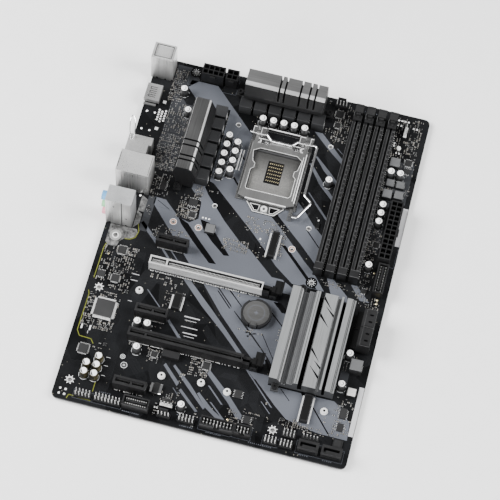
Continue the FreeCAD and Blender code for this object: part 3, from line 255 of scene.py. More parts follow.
def crown_material(name, top_level, paint, metal_colour, axis, metallic=0.92):
    """Paint with bare brushed metal on the high flat faces; their chamfers are near white, partly a brighter
    cut edge and partly a painted highlight.
    """
    nodes = Nodes(name)
    grain = [2400.0, 2400.0, 2400.0]
    grain[axis] = 30.0
    lines = nodes.noise(tuple(grain), 4.0, 0.6)
    slow = nodes.noise(40, 2.0)
    speckle = nodes.noise(1500, 2.0)
    up = nodes.above(nodes.facing_up(), 0.22)
    high = nodes.above(nodes.axis("Z"), top_level)
    bare = nodes.times(up, high)
    metal = nodes.blend(nodes.remap(lines, 0.3, 0.7, 0.0, 1.0), shade(metal_colour, 0.8),
                        shade(metal_colour, 1.16))
    # Chamfers of the bare tops are painted near white: partly a brighter cut edge, partly a painted
    # highlight.
    cut_chamfer_and_highlight = nodes.times(nodes.below(nodes.facing_up(), 0.93), 0.9)
    metal = nodes.blend(cut_chamfer_and_highlight, metal, (0.9, 0.9, 0.9))
    coat = nodes.blend(nodes.remap(speckle, 0.35, 0.65, 0.0, 1.0), shade(paint, 0.8), shade(paint, 1.25))
    nodes.colour(nodes.blend(bare, coat, metal))
    nodes.link(nodes.times(bare, metallic), nodes.shader.inputs["Metallic"])
    gloss = nodes.plus(nodes.times(bare, -0.1), nodes.remap(slow, 0.3, 0.7, 0.42, 0.52))
    nodes.set(Specular_IOR_Level=0.35)
    nodes.link(gloss, nodes.shader.inputs["Roughness"])
    nodes.bump(nodes.plus(lines, nodes.times(speckle, 0.4)), 0.14, 0.00004)
    return nodes.material


def contact_material():
    """A dark carrier with a close grid of gold contacts, with a painted shadow toward its far and right
    edges.
    """
    nodes = Nodes("contact_field")
    cells = nodes.cells((1150, 1150, 0), spread=0.0)
    dot = nodes.remap(cells.outputs["Distance"], 0.16, 0.34, 1.0, 0.0)
    drift = nodes.noise((700, 700, 10), 2.0)
    lit = nodes.blend(nodes.remap(drift, 0.35, 0.65, 0.0, 1.0), (0.26, 0.25, 0.225), (0.42, 0.4, 0.36))
    # Painted shadow of the load plate and socket wall: the field darkens toward its far edge, and slightly
    # toward its right.
    far = nodes.remap(nodes.axis("Y"), at(0, 218).y, at(0, 238).y, 1.0, 0.2)
    side = nodes.remap(nodes.axis("X"), at(98, 0).x, at(132, 0).x, 1.0, 0.9)
    field = nodes.blend(dot, (0.13, 0.13, 0.128), lit)
    nodes.colour(nodes.blend(nodes.times(far, side), (0.01, 0.01, 0.01), field))
    nodes.link(nodes.times(dot, 0.75), nodes.shader.inputs["Metallic"])
    nodes.link(nodes.remap(drift, 0.3, 0.7, 0.3, 0.5), nodes.shader.inputs["Roughness"])
    nodes.bump(dot, 0.4, 0.0001)
    return nodes.material


def ink_material(name, colour, rough=0.3):
    """Printed ink: nearly even colour, a fine speckle and a slow drift."""
    nodes = Nodes(name)
    nodes.set(Specular_IOR_Level=0.2, Coat_Weight=0.08, Coat_Roughness=0.12)
    speckle = nodes.noise((1800, 1800, 300), 3.0)
    slow = nodes.noise(22, 2.0)
    share = nodes.plus(nodes.times(speckle, 0.5), nodes.times(slow, 0.5))
    nodes.colour(nodes.blend(nodes.remap(share, 0.35, 0.65, 0.0, 1.0), shade(colour, 0.88),
                             shade(colour, 1.12)))
    nodes.link(nodes.remap(slow, 0.3, 0.7, rough - 0.06, rough + 0.06), nodes.shader.inputs["Roughness"])
    nodes.bump(speckle, 0.08, 0.00002)
    return nodes.material


PLASTIC = dict(grain=1400, bump=0.3, depth=0.00005, specular=0.35)
M = {
    "mask": mask_material(),
    "ink_grey": ink_material("ink_grey", (0.085, 0.0905, 0.105)),
    "ink_dim": ink_material("ink_dim", (0.03, 0.0315, 0.035)),
    "ink_pale": ink_material("ink_pale", (0.42, 0.42, 0.43), 0.4),
    "ink_white": ink_material("ink_white", (0.62, 0.63, 0.64), 0.45),
    "ink_black": ink_material("ink_black", (0.0024, 0.0025, 0.0028), 0.2),
    "trace": ink_material("etched_run", (0.014, 0.0145, 0.016), 0.2),
    "ink_line": ink_material("ink_line", (0.13, 0.14, 0.02), 0.4),
    "black": surface("black_plastic", (0.0085, 0.0085, 0.009), 0.42, **PLASTIC),
    "dark": surface("dark_plastic", (0.013, 0.013, 0.0135), 0.48, **PLASTIC),
    "grey": surface("grey_plastic", (0.032, 0.032, 0.033), 0.5, **PLASTIC),
    # Patchy lighter grey, used as a painted highlight on long top edges.
    "edge": surface("painted_edge_highlight", (0.055, 0.055, 0.056), 0.4, grain=(900, 240, 900), spread=0.6, bump=0.3,
                    stain=500.0),
    # Near black: real black parts, and painted shade in openings, slots and grooves.
    "void": surface("black_and_painted_shade", (0.0022, 0.0022, 0.0023), 0.7, grain=1400, specular=0.15),
    "white": surface("white_plastic", (0.78, 0.78, 0.76), 0.45, **PLASTIC),
    "blue": surface("port_blue", (0.02, 0.10, 0.42), 0.4, **PLASTIC),
    "epoxy": surface("chip_epoxy", (0.012, 0.012, 0.0125), 0.5, grain=2600, bump=0.25, specular=0.35),
    "epoxy_pale": surface("chip_epoxy_pale", (0.018, 0.018, 0.0185), 0.45, grain=2600),
    # Choke sides take painted shade toward the board.
    "ferrite": surface("choke_ferrite", (0.026, 0.0265, 0.028), 0.46, grain=2200, bump=0.4,
                       specular=0.35, painted_shade=(2, 10, 0.35)),
    # Painted shadow for the caps of the chokes under the top heatsink.
    "ferrite_painted_shadow": surface("choke_painted_shadow", (0.011, 0.0112, 0.012), 0.5, grain=2200, bump=0.4,
                            specular=0.25),
    "ferrite_pale": surface("choke_pale", (0.105, 0.107, 0.11), 0.4, 0.2, grain=2200),
    "tan": surface("ceramic_tan", (0.115, 0.1, 0.082), 0.5, grain=3000),
    "slate": surface("ceramic_slate", (0.03, 0.03, 0.032), 0.5, grain=3000),
    "tin": surface("tin_plate", (0.86, 0.86, 0.85), 0.3, 0.6, grain=1600, spread=0.12),
    "dull_tin": surface("dull_tin", (0.5, 0.5, 0.49), 0.36, 0.85, grain=1600, spread=0.3),
    "solder": surface("solder_joint", (0.6, 0.6, 0.59), 0.26, 1.0, grain=1800, spread=0.15),
    "gold": surface("gold_plate", (0.85, 0.74, 0.46), 0.28, 0.8, grain=1600, spread=0.1),
    "copper": surface("bare_copper", (0.62, 0.29, 0.19), 0.32, 0.7, grain=900, spread=0.15),
    # Can sides take painted shade toward the board.
    "can": surface("can_aluminium", (0.22, 0.22, 0.224), 0.34, 0.85, grain=1500, spread=0.08,
                   painted_shade=(1.0, 7.5, 0.06)),
    "can_top": surface("can_top", (0.96, 0.96, 0.96), 0.4, 0.0, grain=1500, spread=0.05),
    "can_gold": surface("can_gold", (0.1, 0.085, 0.04), 0.34, 0.6, grain=1500, spread=0.2),
    "dark_tin": surface("dark_tin", (0.14, 0.14, 0.14), 0.34, 0.9, grain=1600, spread=0.2),
    "mottled": surface("mottled_plating", (0.17, 0.17, 0.168), 0.4, 0.7, grain=420, spread=0.95,
                       bump=0.5, stain=300.0),
    "chrome": surface("bright_wire", (0.86, 0.86, 0.87), 0.13, 1.0, grain=500, spread=0.06, bump=0.05),
    "plate": brushed("plate_steel", (0.33, 0.33, 0.327), 0.34, 1, metal=0.9),
    "frame": brushed("frame_steel", (0.4, 0.4, 0.4), 0.24, 0, metal=0.95),
    # Near white and mostly diffuse: bright tin on pads and leads, and a painted highlight on the plate rims
    # and frame edges.
    "rim": surface("tin_and_painted_highlight", (0.94, 0.94, 0.93), 0.22, 0.35, grain=900, spread=0.08),
    # Port steel takes painted shade toward the board.
    "port": brushed("port_steel", (0.7, 0.7, 0.695), 0.32, 2, 1500.0, 0.7, 0.2, 0.1, painted_shade=(0, 24, 0.25)),
    "shield": brushed("shield_steel", (0.6, 0.6, 0.6), 0.3, 0, 1800.0, 0.4),
    "cell": brushed("cell_steel", (0.12, 0.12, 0.119), 0.36, 0, 2400.0, 0.7),
    "blackened": surface("blackened_steel", (0.03, 0.03, 0.031), 0.3, 0.8, grain=1200),
    "pad": surface("soft_pad", (0.3, 0.33, 0.36), 0.8, grain=700, bump=0.5),
    "contacts": contact_material(),
    "left_sink": crown_material("left_crown", at(0, 0, 28.0).z, (0.006, 0.006, 0.0065), (0.17, 0.17, 0.17),
                                1),
    "top_sink": crown_material("top_crown", at(0, 0, 28.0).z, (0.009, 0.009, 0.0095), (0.34, 0.34, 0.34), 0),
    "hub_sink": crown_material("hub_crown", at(0, 0, 9.0).z, (0.035, 0.036, 0.038), (0.33, 0.338, 0.342), 1,
                               0.6),
    "hub_step": brushed("hub_step", (0.12, 0.122, 0.126), 0.4, 1, metal=0.5),
    "pale_box": surface("pale_choke", (0.62, 0.61, 0.6), 0.5, 0.1, grain=2200),
}


def barrel_material():
    """Plug barrels whose colour follows their level."""
    nodes = Nodes("jack_barrels")
    height = nodes.axis("Z")
    low = nodes.below(height, at(0, 0, 12.3).z)
    high = nodes.above(height, at(0, 0, 23.8).z)
    speckle = nodes.noise(1500, 2.0)
    green = nodes.blend(speckle, (0.2, 0.52, 0.25), (0.27, 0.6, 0.32))
    with_pink = nodes.blend(low, green, (0.75, 0.3, 0.38))
    nodes.colour(nodes.blend(high, with_pink, (0.12, 0.34, 0.62)))
    nodes.link(nodes.remap(speckle, 0.3, 0.7, 0.3, 0.42), nodes.shader.inputs["Roughness"])
    nodes.bump(speckle, 0.15, 0.00004)
    return nodes.material


M["barrels"] = barrel_material()
# The jack moulding takes painted shade toward the board.
M["jack"] = surface("jack_moulding", (0.62, 0.63, 0.64), 0.34, 0.7, 1400, 0.1, 0.15, painted_shade=(0, 26, 0.3))


def numbered(name, count):
    return ["%s_%d" % (name, number + 1) for number in range(count)]


NODES_OF_LOOK = {
    "mask": ("pcb",),
    "grey": ("socket_body",),
    "contacts": ("socket_contacts",),
    "frame": ("socket_frame", "socket_screws"),
    "plate": ("load_plate",),
    "chrome": ("load_lever",),
    "blackened": ("socket_backplate", "power_pins", "heatsink_screws"),
    "black": ("pcie_x16_slot_1", "pcie_x16_slot_2", "m2_socket_1", "m2_socket_2", "wifi_socket",
              "atx_power_socket", "cpu_power_sockets", "usb3_headers", "sata_port_block",
              "sata_ports_edge", "pin_header_bases", "fan_headers", "box_headers", "battery_holder",
              *numbered("dimm_slot", 4), *numbered("pcie_x1_slot", 3)),
    "shield": ("pcie_x16_shield",),
    "void": ("pcie_latch_1", "pcie_latch_2"),
    "tin": ("m2_standoffs", "header_pins"),
    "left_sink": ("vrm_heatsink_left",),
    "top_sink": ("vrm_heatsink_top",),
    "hub_sink": ("pch_heatsink",),
    "pad": ("thermal_pads",),
    "epoxy": ("power_stages", "pch_chip", "small_chips"),
    "ferrite": ("chokes",),
    "can": ("polymer_capacitors",),
    "can_gold": ("audio_capacitors",),
    "epoxy_pale": ("super_io_chip",),
    "cell": ("battery",),
    "dark_tin": ("battery_clip",),
    "port": ("ps2_usb_stack", "video_port", "usb3_port", "lan_usb_stack"),
    "jack": ("audio_jack_block",),
    "barrels": ("jack_barrels",),
    "solder": ("solder_tails",),
    "dark": numbered("dimm_latch", 4),
}
for look, node_names in NODES_OF_LOOK.items():
    for node_name in node_names:
        node_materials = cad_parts[node_name].data.materials
        node_materials.clear()
        node_materials.append(M[look])

# ---------------------------------------------------------------- mesh helpers


class Pile:
    """Collects small closed solids, given in board millimetres, into one piece."""

    def __init__(self, name, look, body="board"):
        self.name, self.look, self.body = name, look, body
        self.points, self.faces = [], []

    def add(self, points, faces):
        start = len(self.points)
        self.points.extend(points)
        self.faces.extend([[start + i for i in face] for face in faces])

    def rings(self, rings):
        """A closed solid through rings of equal length, capped at both ends."""
        count = len(rings[0])
        points = [p for ring in rings for p in ring]
        faces = [list(range(count))[::-1], [(len(rings) - 1) * count + i for i in range(count)]]
        for level in range(len(rings) - 1):
            for i in range(count):
                j = (i + 1) % count
                faces.append([level * count + i, level * count + j, (level + 1) * count + j,
                              (level + 1) * count + i])
        self.add(points, faces)

    def prism(self, outline, low, high, inset=0.0):
        """A straight prism; an inset bevels the upper edge toward the outline's middle."""
        cx = sum(p[0] for p in outline) / len(outline)
        cy = sum(p[1] for p in outline) / len(outline)
        levels = [[(x, y, low) for x, y in outline]]
        if inset:
            levels.append([(x, y, high - inset) for x, y in outline])
            shrunk = []
            for x, y in outline:
                reach = math.hypot(x - cx, y - cy)
                scale = max(0.0, 1 - inset * 1.2 / reach)
                shrunk.append((cx + (x - cx) * scale, cy + (y - cy) * scale, high))
            levels.append(shrunk)
        else:
            levels.append([(x, y, high) for x, y in outline])
        self.rings(levels)

    def block(self, low, high, inset=0.0, turn=0.0):
        outline = [(low[0], low[1]), (high[0], low[1]), (high[0], high[1]), (low[0], high[1])]
        if turn:
            cx, cy = (low[0] + high[0]) / 2, (low[1] + high[1]) / 2
            c, s = math.cos(turn), math.sin(turn)
            outline = [(cx + (x - cx) * c - (y - cy) * s, cy + (x - cx) * s + (y - cy) * c)
                       for x, y in outline]
        self.prism(outline, low[2], high[2], inset)

    def plate(self, x, y, half_x, half_y, low, high, inset=0.0):
        """A block centred on a place of the board."""
        self.block((x - half_x, y - half_y, low), (x + half_x, y + half_y, high), inset)

    def border(self, x0, y0, x1, y1, width, low, high, inset=0.0):
        """Four bars along the inner edges of a rectangle."""
        for ax, ay, bx, by in ((x0, y0, x1, y0 + width), (x0, y1 - width, x1, y1),
                               (x0, y0 + width, x0 + width, y1 - width),
                               (x1 - width, y0 + width, x1, y1 - width)):
            self.block((ax, ay, low), (bx, by, high), inset)

    def lathe(self, centre, profile, axis="z", sides=16):
        """A solid of revolution; profile is a list of (radius, place along the axis)."""
        rings = []
        for radius, along in profile:
            ring = []
            for i in range(sides):
                a = 2 * math.pi * i / sides
                u, v = radius * math.cos(a), radius * math.sin(a)
                if axis == "z":
                    ring.append((centre[0] + u, centre[1] + v, centre[2] + along))
                elif axis == "x":
                    ring.append((centre[0] + along, centre[1] + u, centre[2] + v))
                else:
                    ring.append((centre[0] + v, centre[1] + along, centre[2] + u))
            rings.append(ring)
        self.rings(rings)

    def tube(self, centre, inner, outer, low, high, sides=20, start=0.0, sweep=1.0):
        """A flat ring, or a part of one."""
        steps = max(3, int(sides * sweep))
        rows = []
        for i in range(steps + (sweep < 1.0)):
            a = 2 * math.pi * (start + sweep * i / steps)
            c, s = math.cos(a), math.sin(a)
            rows.append([(centre[0] + r * c, centre[1] + r * s, z)
                         for r, z in ((inner, low), (outer, low), (outer, high), (inner, high))])
        if sweep < 1.0:
            self.rings(rows)
            return
        points = [p for row in rows for p in row]
        faces = []
        for i in range(len(rows)):
            j = (i + 1) % len(rows)
            for k in range(4):
                m = (k + 1) % 4
                faces.append([4 * i + k, 4 * j + k, 4 * j + m, 4 * i + m])
        self.add(points, faces)

    def strip(self, path, width, low, high):
        """A flat band that follows a path of straight runs."""
        for (ax, ay), (bx, by) in zip(path, path[1:]):
            length = math.hypot(bx - ax, by - ay)
            nx, ny = -(by - ay) / length * width / 2, (bx - ax) / length * width / 2
            self.prism([(ax + nx, ay + ny), (ax - nx, ay - ny), (bx - nx, by - ny), (bx + nx, by + ny)],
                       low, high)

    def wire(self, path, radius, sides=8):
        """A round wire through points in space."""
        points = [Vector(p) for p in path]
        rings = []
        for i, point in enumerate(points):
            ahead = points[min(i + 1, len(points) - 1)] - points[max(i - 1, 0)]
            turn = ahead.to_track_quat("Z", "Y")
            ring = []
            for k in range(sides):
                a = 2 * math.pi * k / sides
                ring.append(tuple(point + turn @ Vector((radius * math.cos(a), radius * math.sin(a), 0))))
            rings.append(ring)
        self.rings(rings)

    def done(self, smooth=False):
        mesh = bpy.data.meshes.new(self.name)
        mesh.from_pydata([tuple(at(*p)) for p in self.points], [], self.faces)
        mesh.validate()
        mesh.materials.append(M[self.look])
        made = bpy.data.objects.new(self.name, mesh)
        bpy.context.scene.collection.objects.link(made)
        fix_normals(mesh)
        if smooth:
            for polygon in mesh.polygons:
                polygon.use_smooth = True
            made.data.set_sharp_from_angle(angle=math.radians(35))
        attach(made, self.body)
        return made


def fix_normals(mesh):
    work = bmesh.new()
    work.from_mesh(mesh)
    bmesh.ops.recalc_face_normals(work, faces=work.faces)
    work.to_mesh(mesh)
    work.free()


# ---------------------------------------------------------------- holes and islands

MOUNT_HOLES = ((33.02, 298.65), (10.16, 141.17), (165.1, 141.17), (10.16, 95.45), (10.16, 16.71),
               (165.1, 16.71))
COOLER_HOLES = ((77.4, 185.8), (152.4, 185.8), (77.4, 260.8), (152.4, 260.8))
STAND_HOLES = ((50.0, 164.0), (70.0, 164.0), (144.0, 165.0))
MEMORY_ROWS = [167.6 + 9.25 * index for index in range(4)]
SHIELDED_ROW = 123.0
# Card slots by their place up the board, and whether each is a long one.
CARD_ROWS = ((143.32, False), (SHIELDED_ROW, True), (82.36, False), (62.04, True), (21.4, False))
CARD_KEY = (54.4, 57.4)
CELL_CENTRE = (130.9, 103.6)
SQUARE = ((-1, -1), (1, -1), (1, 1), (-1, 1))


def card_rows(short_end, long_end):
    return [(row, long_end if is_long else short_end) for row, is_long in CARD_ROWS]


def centre(box):
    return (box[0] + box[3]) / 2, (box[1] + box[4]) / 2


def islands(node_name):
    """The outline box of each separate solid of a CAD node, in board millimetres."""
    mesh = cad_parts[node_name].data
    keys, parent = {}, []
    index = []
    for vertex in mesh.vertices:
        key = tuple(round(c * 2e5) for c in vertex.co)
        if key not in keys:
            keys[key] = len(parent)
            parent.append(len(parent))
        index.append(keys[key])

    def root(i):
        while parent[i] != i:
            parent[i] = parent[parent[i]]
            i = parent[i]
        return i

    for polygon in mesh.polygons:
        first = root(index[polygon.vertices[0]])
        for other in polygon.vertices[1:]:
            parent[root(index[other])] = first
    boxes = {}
    for vertex, i in zip(mesh.vertices, index):
        x, y, z = board_mm(vertex.co)
        b = boxes.setdefault(root(i), [x, y, z, x, y, z])
        for k, value in enumerate((x, y, z)):
            b[k] = min(b[k], value)
            b[k + 3] = max(b[k + 3], value)
    return list(boxes.values())


HIDDEN = ("pcb", "thermal_pads", "power_stages", "pch_chip", "solder_tails", "socket_backplate",
          "header_pins", "power_pins", "socket_contacts", "load_plate", "socket_frame", "load_lever",
          "socket_body", "battery", "jack_barrels", "heatsink_screws")
taken = [(89.5, 187.0, 139.6, 264.6), (139.6, 188.0, 151.0, 256.0)]
ISLANDS = {name: islands(name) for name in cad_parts}
for name, boxes in ISLANDS.items():
    if name not in HIDDEN:
        taken.extend([(b[0], b[1], b[3], b[4]) for b in boxes])
for x, y in MOUNT_HOLES:
    taken.append((x - 4.4, y - 4.4, x + 4.4, y + 4.4))
for x, y in COOLER_HOLES + STAND_HOLES:
    taken.append((x - 3.2, y - 3.2, x + 3.2, y + 3.2))


def free(x0, y0, x1, y1, gap=0.35):
    if x0 < 1.2 or y0 < 1.0 or x1 > 222.8 or y1 > 303.8:
        return False
    return all(x1 + gap < a or x0 - gap > c or y1 + gap < b or y0 - gap > d for a, b, c, d in taken)


# ---------------------------------------------------------------- printed ink

INK = 0.03


def ink(name, look, outlines, layer=0):
    pile = Pile(name, look)
    for outline in outlines:
        pile.prism(outline, 0.005 + INK * layer, INK * (layer + 1))
    made = pile.done()
    cutter = bpy.data.meshes.new("hole_cutter")
    tool = Pile("hole_tool", look)
    for x, y in MOUNT_HOLES:
        tool.lathe((x, y, -1), ((2.0, 0), (2.0, 3)), sides=24)
    for x, y in COOLER_HOLES + STAND_HOLES:
        tool.lathe((x, y, -1), ((2.05, 0), (2.05, 3)), sides=24)
    cutter.from_pydata([tuple(at(*p)) for p in tool.points], [], tool.faces)
    fix_normals(cutter)
    cutter_object = bpy.data.objects.new("hole_cutter", cutter)
    bpy.context.scene.collection.objects.link(cutter_object)
    change = made.modifiers.new("holes", "BOOLEAN")
    change.operation, change.solver, change.object = "DIFFERENCE", "EXACT", cutter_object
    change.use_self = True
    bpy.context.view_layer.update()
    graph = bpy.context.evaluated_depsgraph_get()
    result = bpy.data.meshes.new_from_object(made.evaluated_get(graph))
    made.modifiers.clear()
    made.data = result
    bpy.data.objects.remove(cutter_object)
    return made


GREY_FIELDS = (
    ((40, 291), (53, 291), (91, 254), (91, 196.4), (100.4, 196.4), (106.6, 188.2), (111, 171), (72, 204.5),
     (68, 206), (68, 272), (57, 272), (57, 262), (42, 262), (42, 272), (30, 284), (31.5, 291)),
    ((111, 171), (106.6, 188.2), (122, 188.2), (134, 178), (146, 166.6), (156, 157), (165, 149.4),
     (176, 136.4), (151, 136.4), (135.5, 147.6), (126, 157)),
    ((127.4, 190), (140, 179), (150, 170.4), (163.6, 157.6), (164.4, 181.6), (155, 189.6), (147.4, 198.2),
     (139.2, 206.4), (139.2, 196.6), (133.6, 196.6), (130.2, 196.2), (126.4, 191.6)),
    ((31, 175.4), (31, 181.4), (39.6, 181), (53.4, 168.4), (62, 166.6), (68, 171.5), (66.6, 186), (56, 196),
     (56, 205), (66, 205), (66.2, 199.4), (70, 194), (88, 174.8), (104, 160.4), (113, 156), (134.6, 137.8),
     (143, 137.8), (152.6, 132.6), (152.6, 127), (72.5, 127), (71.6, 131.8)),
    ((70, 118.6), (76, 118.6), (98, 99), (112, 86), (125.4, 73), (131, 67.6), (127, 67.6), (110, 83),
     (90, 99.6)),
    ((86, 118.6), (97, 118.6), (110, 106), (124, 93), (139.6, 78.6), (147, 71.6), (147, 66.2), (138.6, 66.2),
     (128, 75.4), (105, 97.4)),
    ((98.4, 118.6), (106, 118.6), (118.4, 107.6), (113, 101.6), (110.6, 106.8)),
    ((107.6, 118.6), (144, 118.6), (152.6, 110.4), (152.6, 66), (148.4, 71.4), (140, 79.6), (124.6, 94.4),
     (114, 103), (119, 108)),
    ((137, 58), (153, 58), (153, 50.6), (204, 50.6), (209.6, 47), (219, 36), (220, 22.6), (207, 22.6),
     (199, 22.6), (186, 24.6), (172.4, 27.6), (162, 35.8)),
    ((107.2, 47.8), (108.4, 51.2), (125, 37.4), (140.4, 22), (140.6, 18.4), (136.8, 18.4), (128, 28.8)),
    ((104, 30.4), (105.4, 31.6), (118.6, 20.6), (128.4, 15), (121.6, 15), (112, 21.4)),
    ((137, 271), (143.6, 271), (164.4, 251.6), (164.4, 247.4), (150, 259)),
    ((141.6, 250.8), (144.6, 249.4), (157, 238.6), (164.4, 231.4), (164.4, 227.6), (152, 238.4)),
    ((139.4, 242), (141.4, 242.4), (153.4, 228.4), (164.4, 217.2), (164.4, 213.6), (151, 226)),
    ((74.2, 46), (75.4, 48), (89, 35), (88, 32)),
    ((81.4, 47), (82.4, 48.6), (97, 36.4), (112.6, 21), (111.6, 19), (95, 34)),
    ((90.4, 29.2), (91.6, 31), (108, 16.6), (106.4, 15.4)),
    ((67.4, 81.6), (68.6, 83.2), (81, 70.6), (79, 69.6)),
    ((26, 156.6), (28, 158.4), (42.4, 145.2), (42.2, 141.6)),
    ((175.6, 148), (181, 148), (194, 137), (196, 132), (185, 132), (181, 136.6)),
    ((194.6, 147.6), (199.6, 147.6), (211.6, 136), (204, 136)),
)
THIN_GREY = (
    ((46.2, 103), (59, 91), 0.8), ((46, 141.4), (56.6, 130.4), 1.6), ((152.8, 208.2), (164.3, 196.4), 1.6),
    ((145.2, 216.4), (156.2, 204.8), 0.9), ((111, 38.6), (124, 26.4), 1.1),
    ((115.4, 26.2), (128.6, 14.6), 1.0), ((151.6, 36.4), (160, 28.4), 0.6),
    ((134.2, 59), (160, 33.6), 0.9), ((163, 256.6), (158, 260.8), 0.6), ((136, 58.4), (142.6, 52.6), 0.8),
    ((54.6, 139.6), (61.6, 132.6), 0.8), ((85.6, 30.2), (91, 25), 0.5),
)
DIM_FIELDS = (
    ((17.4, 302), (29, 302), (37.4, 293), (37.4, 291.2), (30, 284), (17.4, 284)),
    ((20.6, 240), (40, 240), (40, 268), (33, 268), (20.6, 282)),
    ((20.6, 206), (40, 206), (40, 239.6), (20.6, 239.6)),
    ((26, 150), (32, 150), (32, 181), (26, 181)),
    ((200, 178), (208, 178), (208, 224), (200, 224)),
    ((199.6, 225), (220, 225), (220, 262), (199.6, 262)),
    ((203.4, 58), (210, 58), (210, 92), (203.4, 92)),
)
BLACK_BANDS = (
    ((69.6, 171.6), (77, 170.4), (84.4, 162.4), (99, 146.6), (94.6, 146), (82.6, 155.4), (74.4, 163.2)),
    ((52.6, 169.2), (61.4, 165.4), (74, 153), (91, 137.2), (85.4, 136.8), (69, 151.4), (56, 164)),
)
THIN_BLACK = (
    ((151, 184.4), (164.3, 171), 0.8), ((137, 166.6), (168.6, 136.6), 2.4), ((98, 116), (110.4, 103.8), 0.8),
    ((141.6, 109), (152.4, 99.6), 0.8), ((139.4, 89.4), (152.4, 71), 0.5), ((144, 118), (152.4, 110.6), 4.2),
    ((146.6, 70), (152.4, 61.2), 1.6), ((163.2, 50), (171.6, 42.2), 0.5), ((176.6, 55.6), (182, 47.6), 2.2),
    ((189.6, 42), (206.6, 22.8), 1.0), ((83, 239), (90, 231), 1.0), ((84.6, 214.6), (91, 207.6), 1.4),
    ((31.6, 174), (46.6, 172.8), 0.3), ((33.6, 179), (44, 173.6), 0.4),
)
PALE_STRIPS = (
    ((219.8, 188.4), (223.6, 188.4), (223.6, 222.4), (219.8, 222.4)),
    ((219.9, 26.4), (223.6, 26.4), (223.6, 66.6), (219.9, 66.6)),
)


def band(start, end, width):
    """A slanted band with its ends cut level."""
    rise = abs(end[1] - start[1]) / math.hypot(end[0] - start[0], end[1] - start[1])
    half = width / 2 / max(rise, 0.3)
    return [(start[0] - half, start[1]), (start[0] + half, start[1]), (end[0] + half, end[1]),
            (end[0] - half, end[1])]


ink("ink_grey_fields", "ink_grey", list(GREY_FIELDS) + [band(*b) for b in THIN_GREY])
ink("ink_dim_fields", "ink_dim", DIM_FIELDS)
ink("ink_black_bands", "ink_black", list(BLACK_BANDS) + [band(*b) for b in THIN_BLACK], 1)
ink("ink_pale_strips", "ink_pale", PALE_STRIPS)

line = Pile("isolation_line", "ink_line")
for path in (((24.6, 155), (26.6, 148.6), (25.4, 143), (21.6, 140.4), (17.8, 140)), ((5.4, 133), (4.4, 129),
             (4.2, 102)), ((3.2, 91), (4.4, 88), (4.2, 57), (7, 52.8), (16.2, 52.4), (18.8, 49)),
             ((29, 21), (29, 11.6)), ((11.8, 1.6), (12.6, 5), (29.6, 4.2))):
    line.strip(path, 0.6, 0.01, 0.05)
line.done()

# Bundles of etched runs: path, count and pitch. They stand a little proud of the board.
traces = Pile("etched_runs", "trace")
BUNDLES = (
    (((96, 160), (96, 150), (104, 142), (104, 130)), 12, 0.7), (((74, 100), (84, 90), (84, 70)), 10, 0.8),
    (((118, 96), (128, 86), (128, 68)), 10, 0.8), (((96, 84), (110, 70), (126, 70)), 9, 0.7),
    (((46, 112), (58, 112), (66, 104), (66, 90)), 8, 0.8),
    (((34, 132), (34, 112), (40, 106), (40, 90)), 10, 0.7),
    (((31, 64), (31, 54), (36, 49), (36, 14)), 10, 0.8),
    (((50, 54), (50, 44), (62, 32), (62, 28)), 9, 0.9),
    (((118, 50), (128, 50), (140, 38), (140, 30)), 9, 0.7),
    (((146, 44), (146, 34), (154, 26), (154, 12)), 10, 0.7),
    (((14, 130), (14, 120), (20, 114), (34, 114)), 8, 0.6), (((70, 56), (76, 50), (76, 34)), 8, 0.8),
    (((152, 256), (158, 250), (164, 250)), 12, 0.9), (((150, 224), (156, 218), (164, 218)), 12, 0.9),
    (((142, 280), (150, 280), (160, 290), (160, 302)), 8, 0.7),
    (((204, 240), (204, 226), (199, 221), (199, 180)), 5, 0.8), (((6, 120), (6, 104)), 6, 0.7),
    (((24, 262), (30, 256), (30, 208)), 7, 0.8), (((178, 34), (186, 26), (186, 18)), 8, 0.6),
    (((100, 252), (92, 260), (92, 266)), 8, 0.8), (((128, 128), (136, 120), (150, 120)), 8, 0.6),
)
for path, count, pitch in BUNDLES:
    for k in range(count):
        shift = (k - count / 2) * pitch
        (ax, ay), (bx, by) = path[0], path[-1]
        length = math.hypot(bx - ax, by - ay)
        sx, sy = -(by - ay) / length * shift, (bx - ax) / length * shift
        traces.strip([(x + sx, y + sy) for x, y in path], 0.2, 0.0, 0.012)
traces.done()

# ---------------------------------------------------------------- silkscreen and pads

silk = Pile("silk_marks", "ink_white")
tin_pads = Pile("tin_pads", "rim")
dull_pads = Pile("mount_pads", "dull_tin")
gold_pads = Pile("gold_pads", "gold")
copper_rings = Pile("copper_rings", "copper")
black_rings = Pile("hole_rings", "ink_black")


def spokes(pile, x, y, count, start, near, far, width, low, high):
    """Short bars set round a hole."""
    for k in range(count):
        a = 2 * math.pi * (k + start) / count
        c, s = math.cos(a), math.sin(a)
        pile.strip([(x + near * c, y + near * s), (x + far * c, y + far * s)], width, low, high)


def round_pads(pile, places, radius, wall, crown, top, z=0.0):
    for x, y in places:
        pile.lathe((x, y, z), ((radius, 0), (radius, wall), (crown, top)), sides=14)


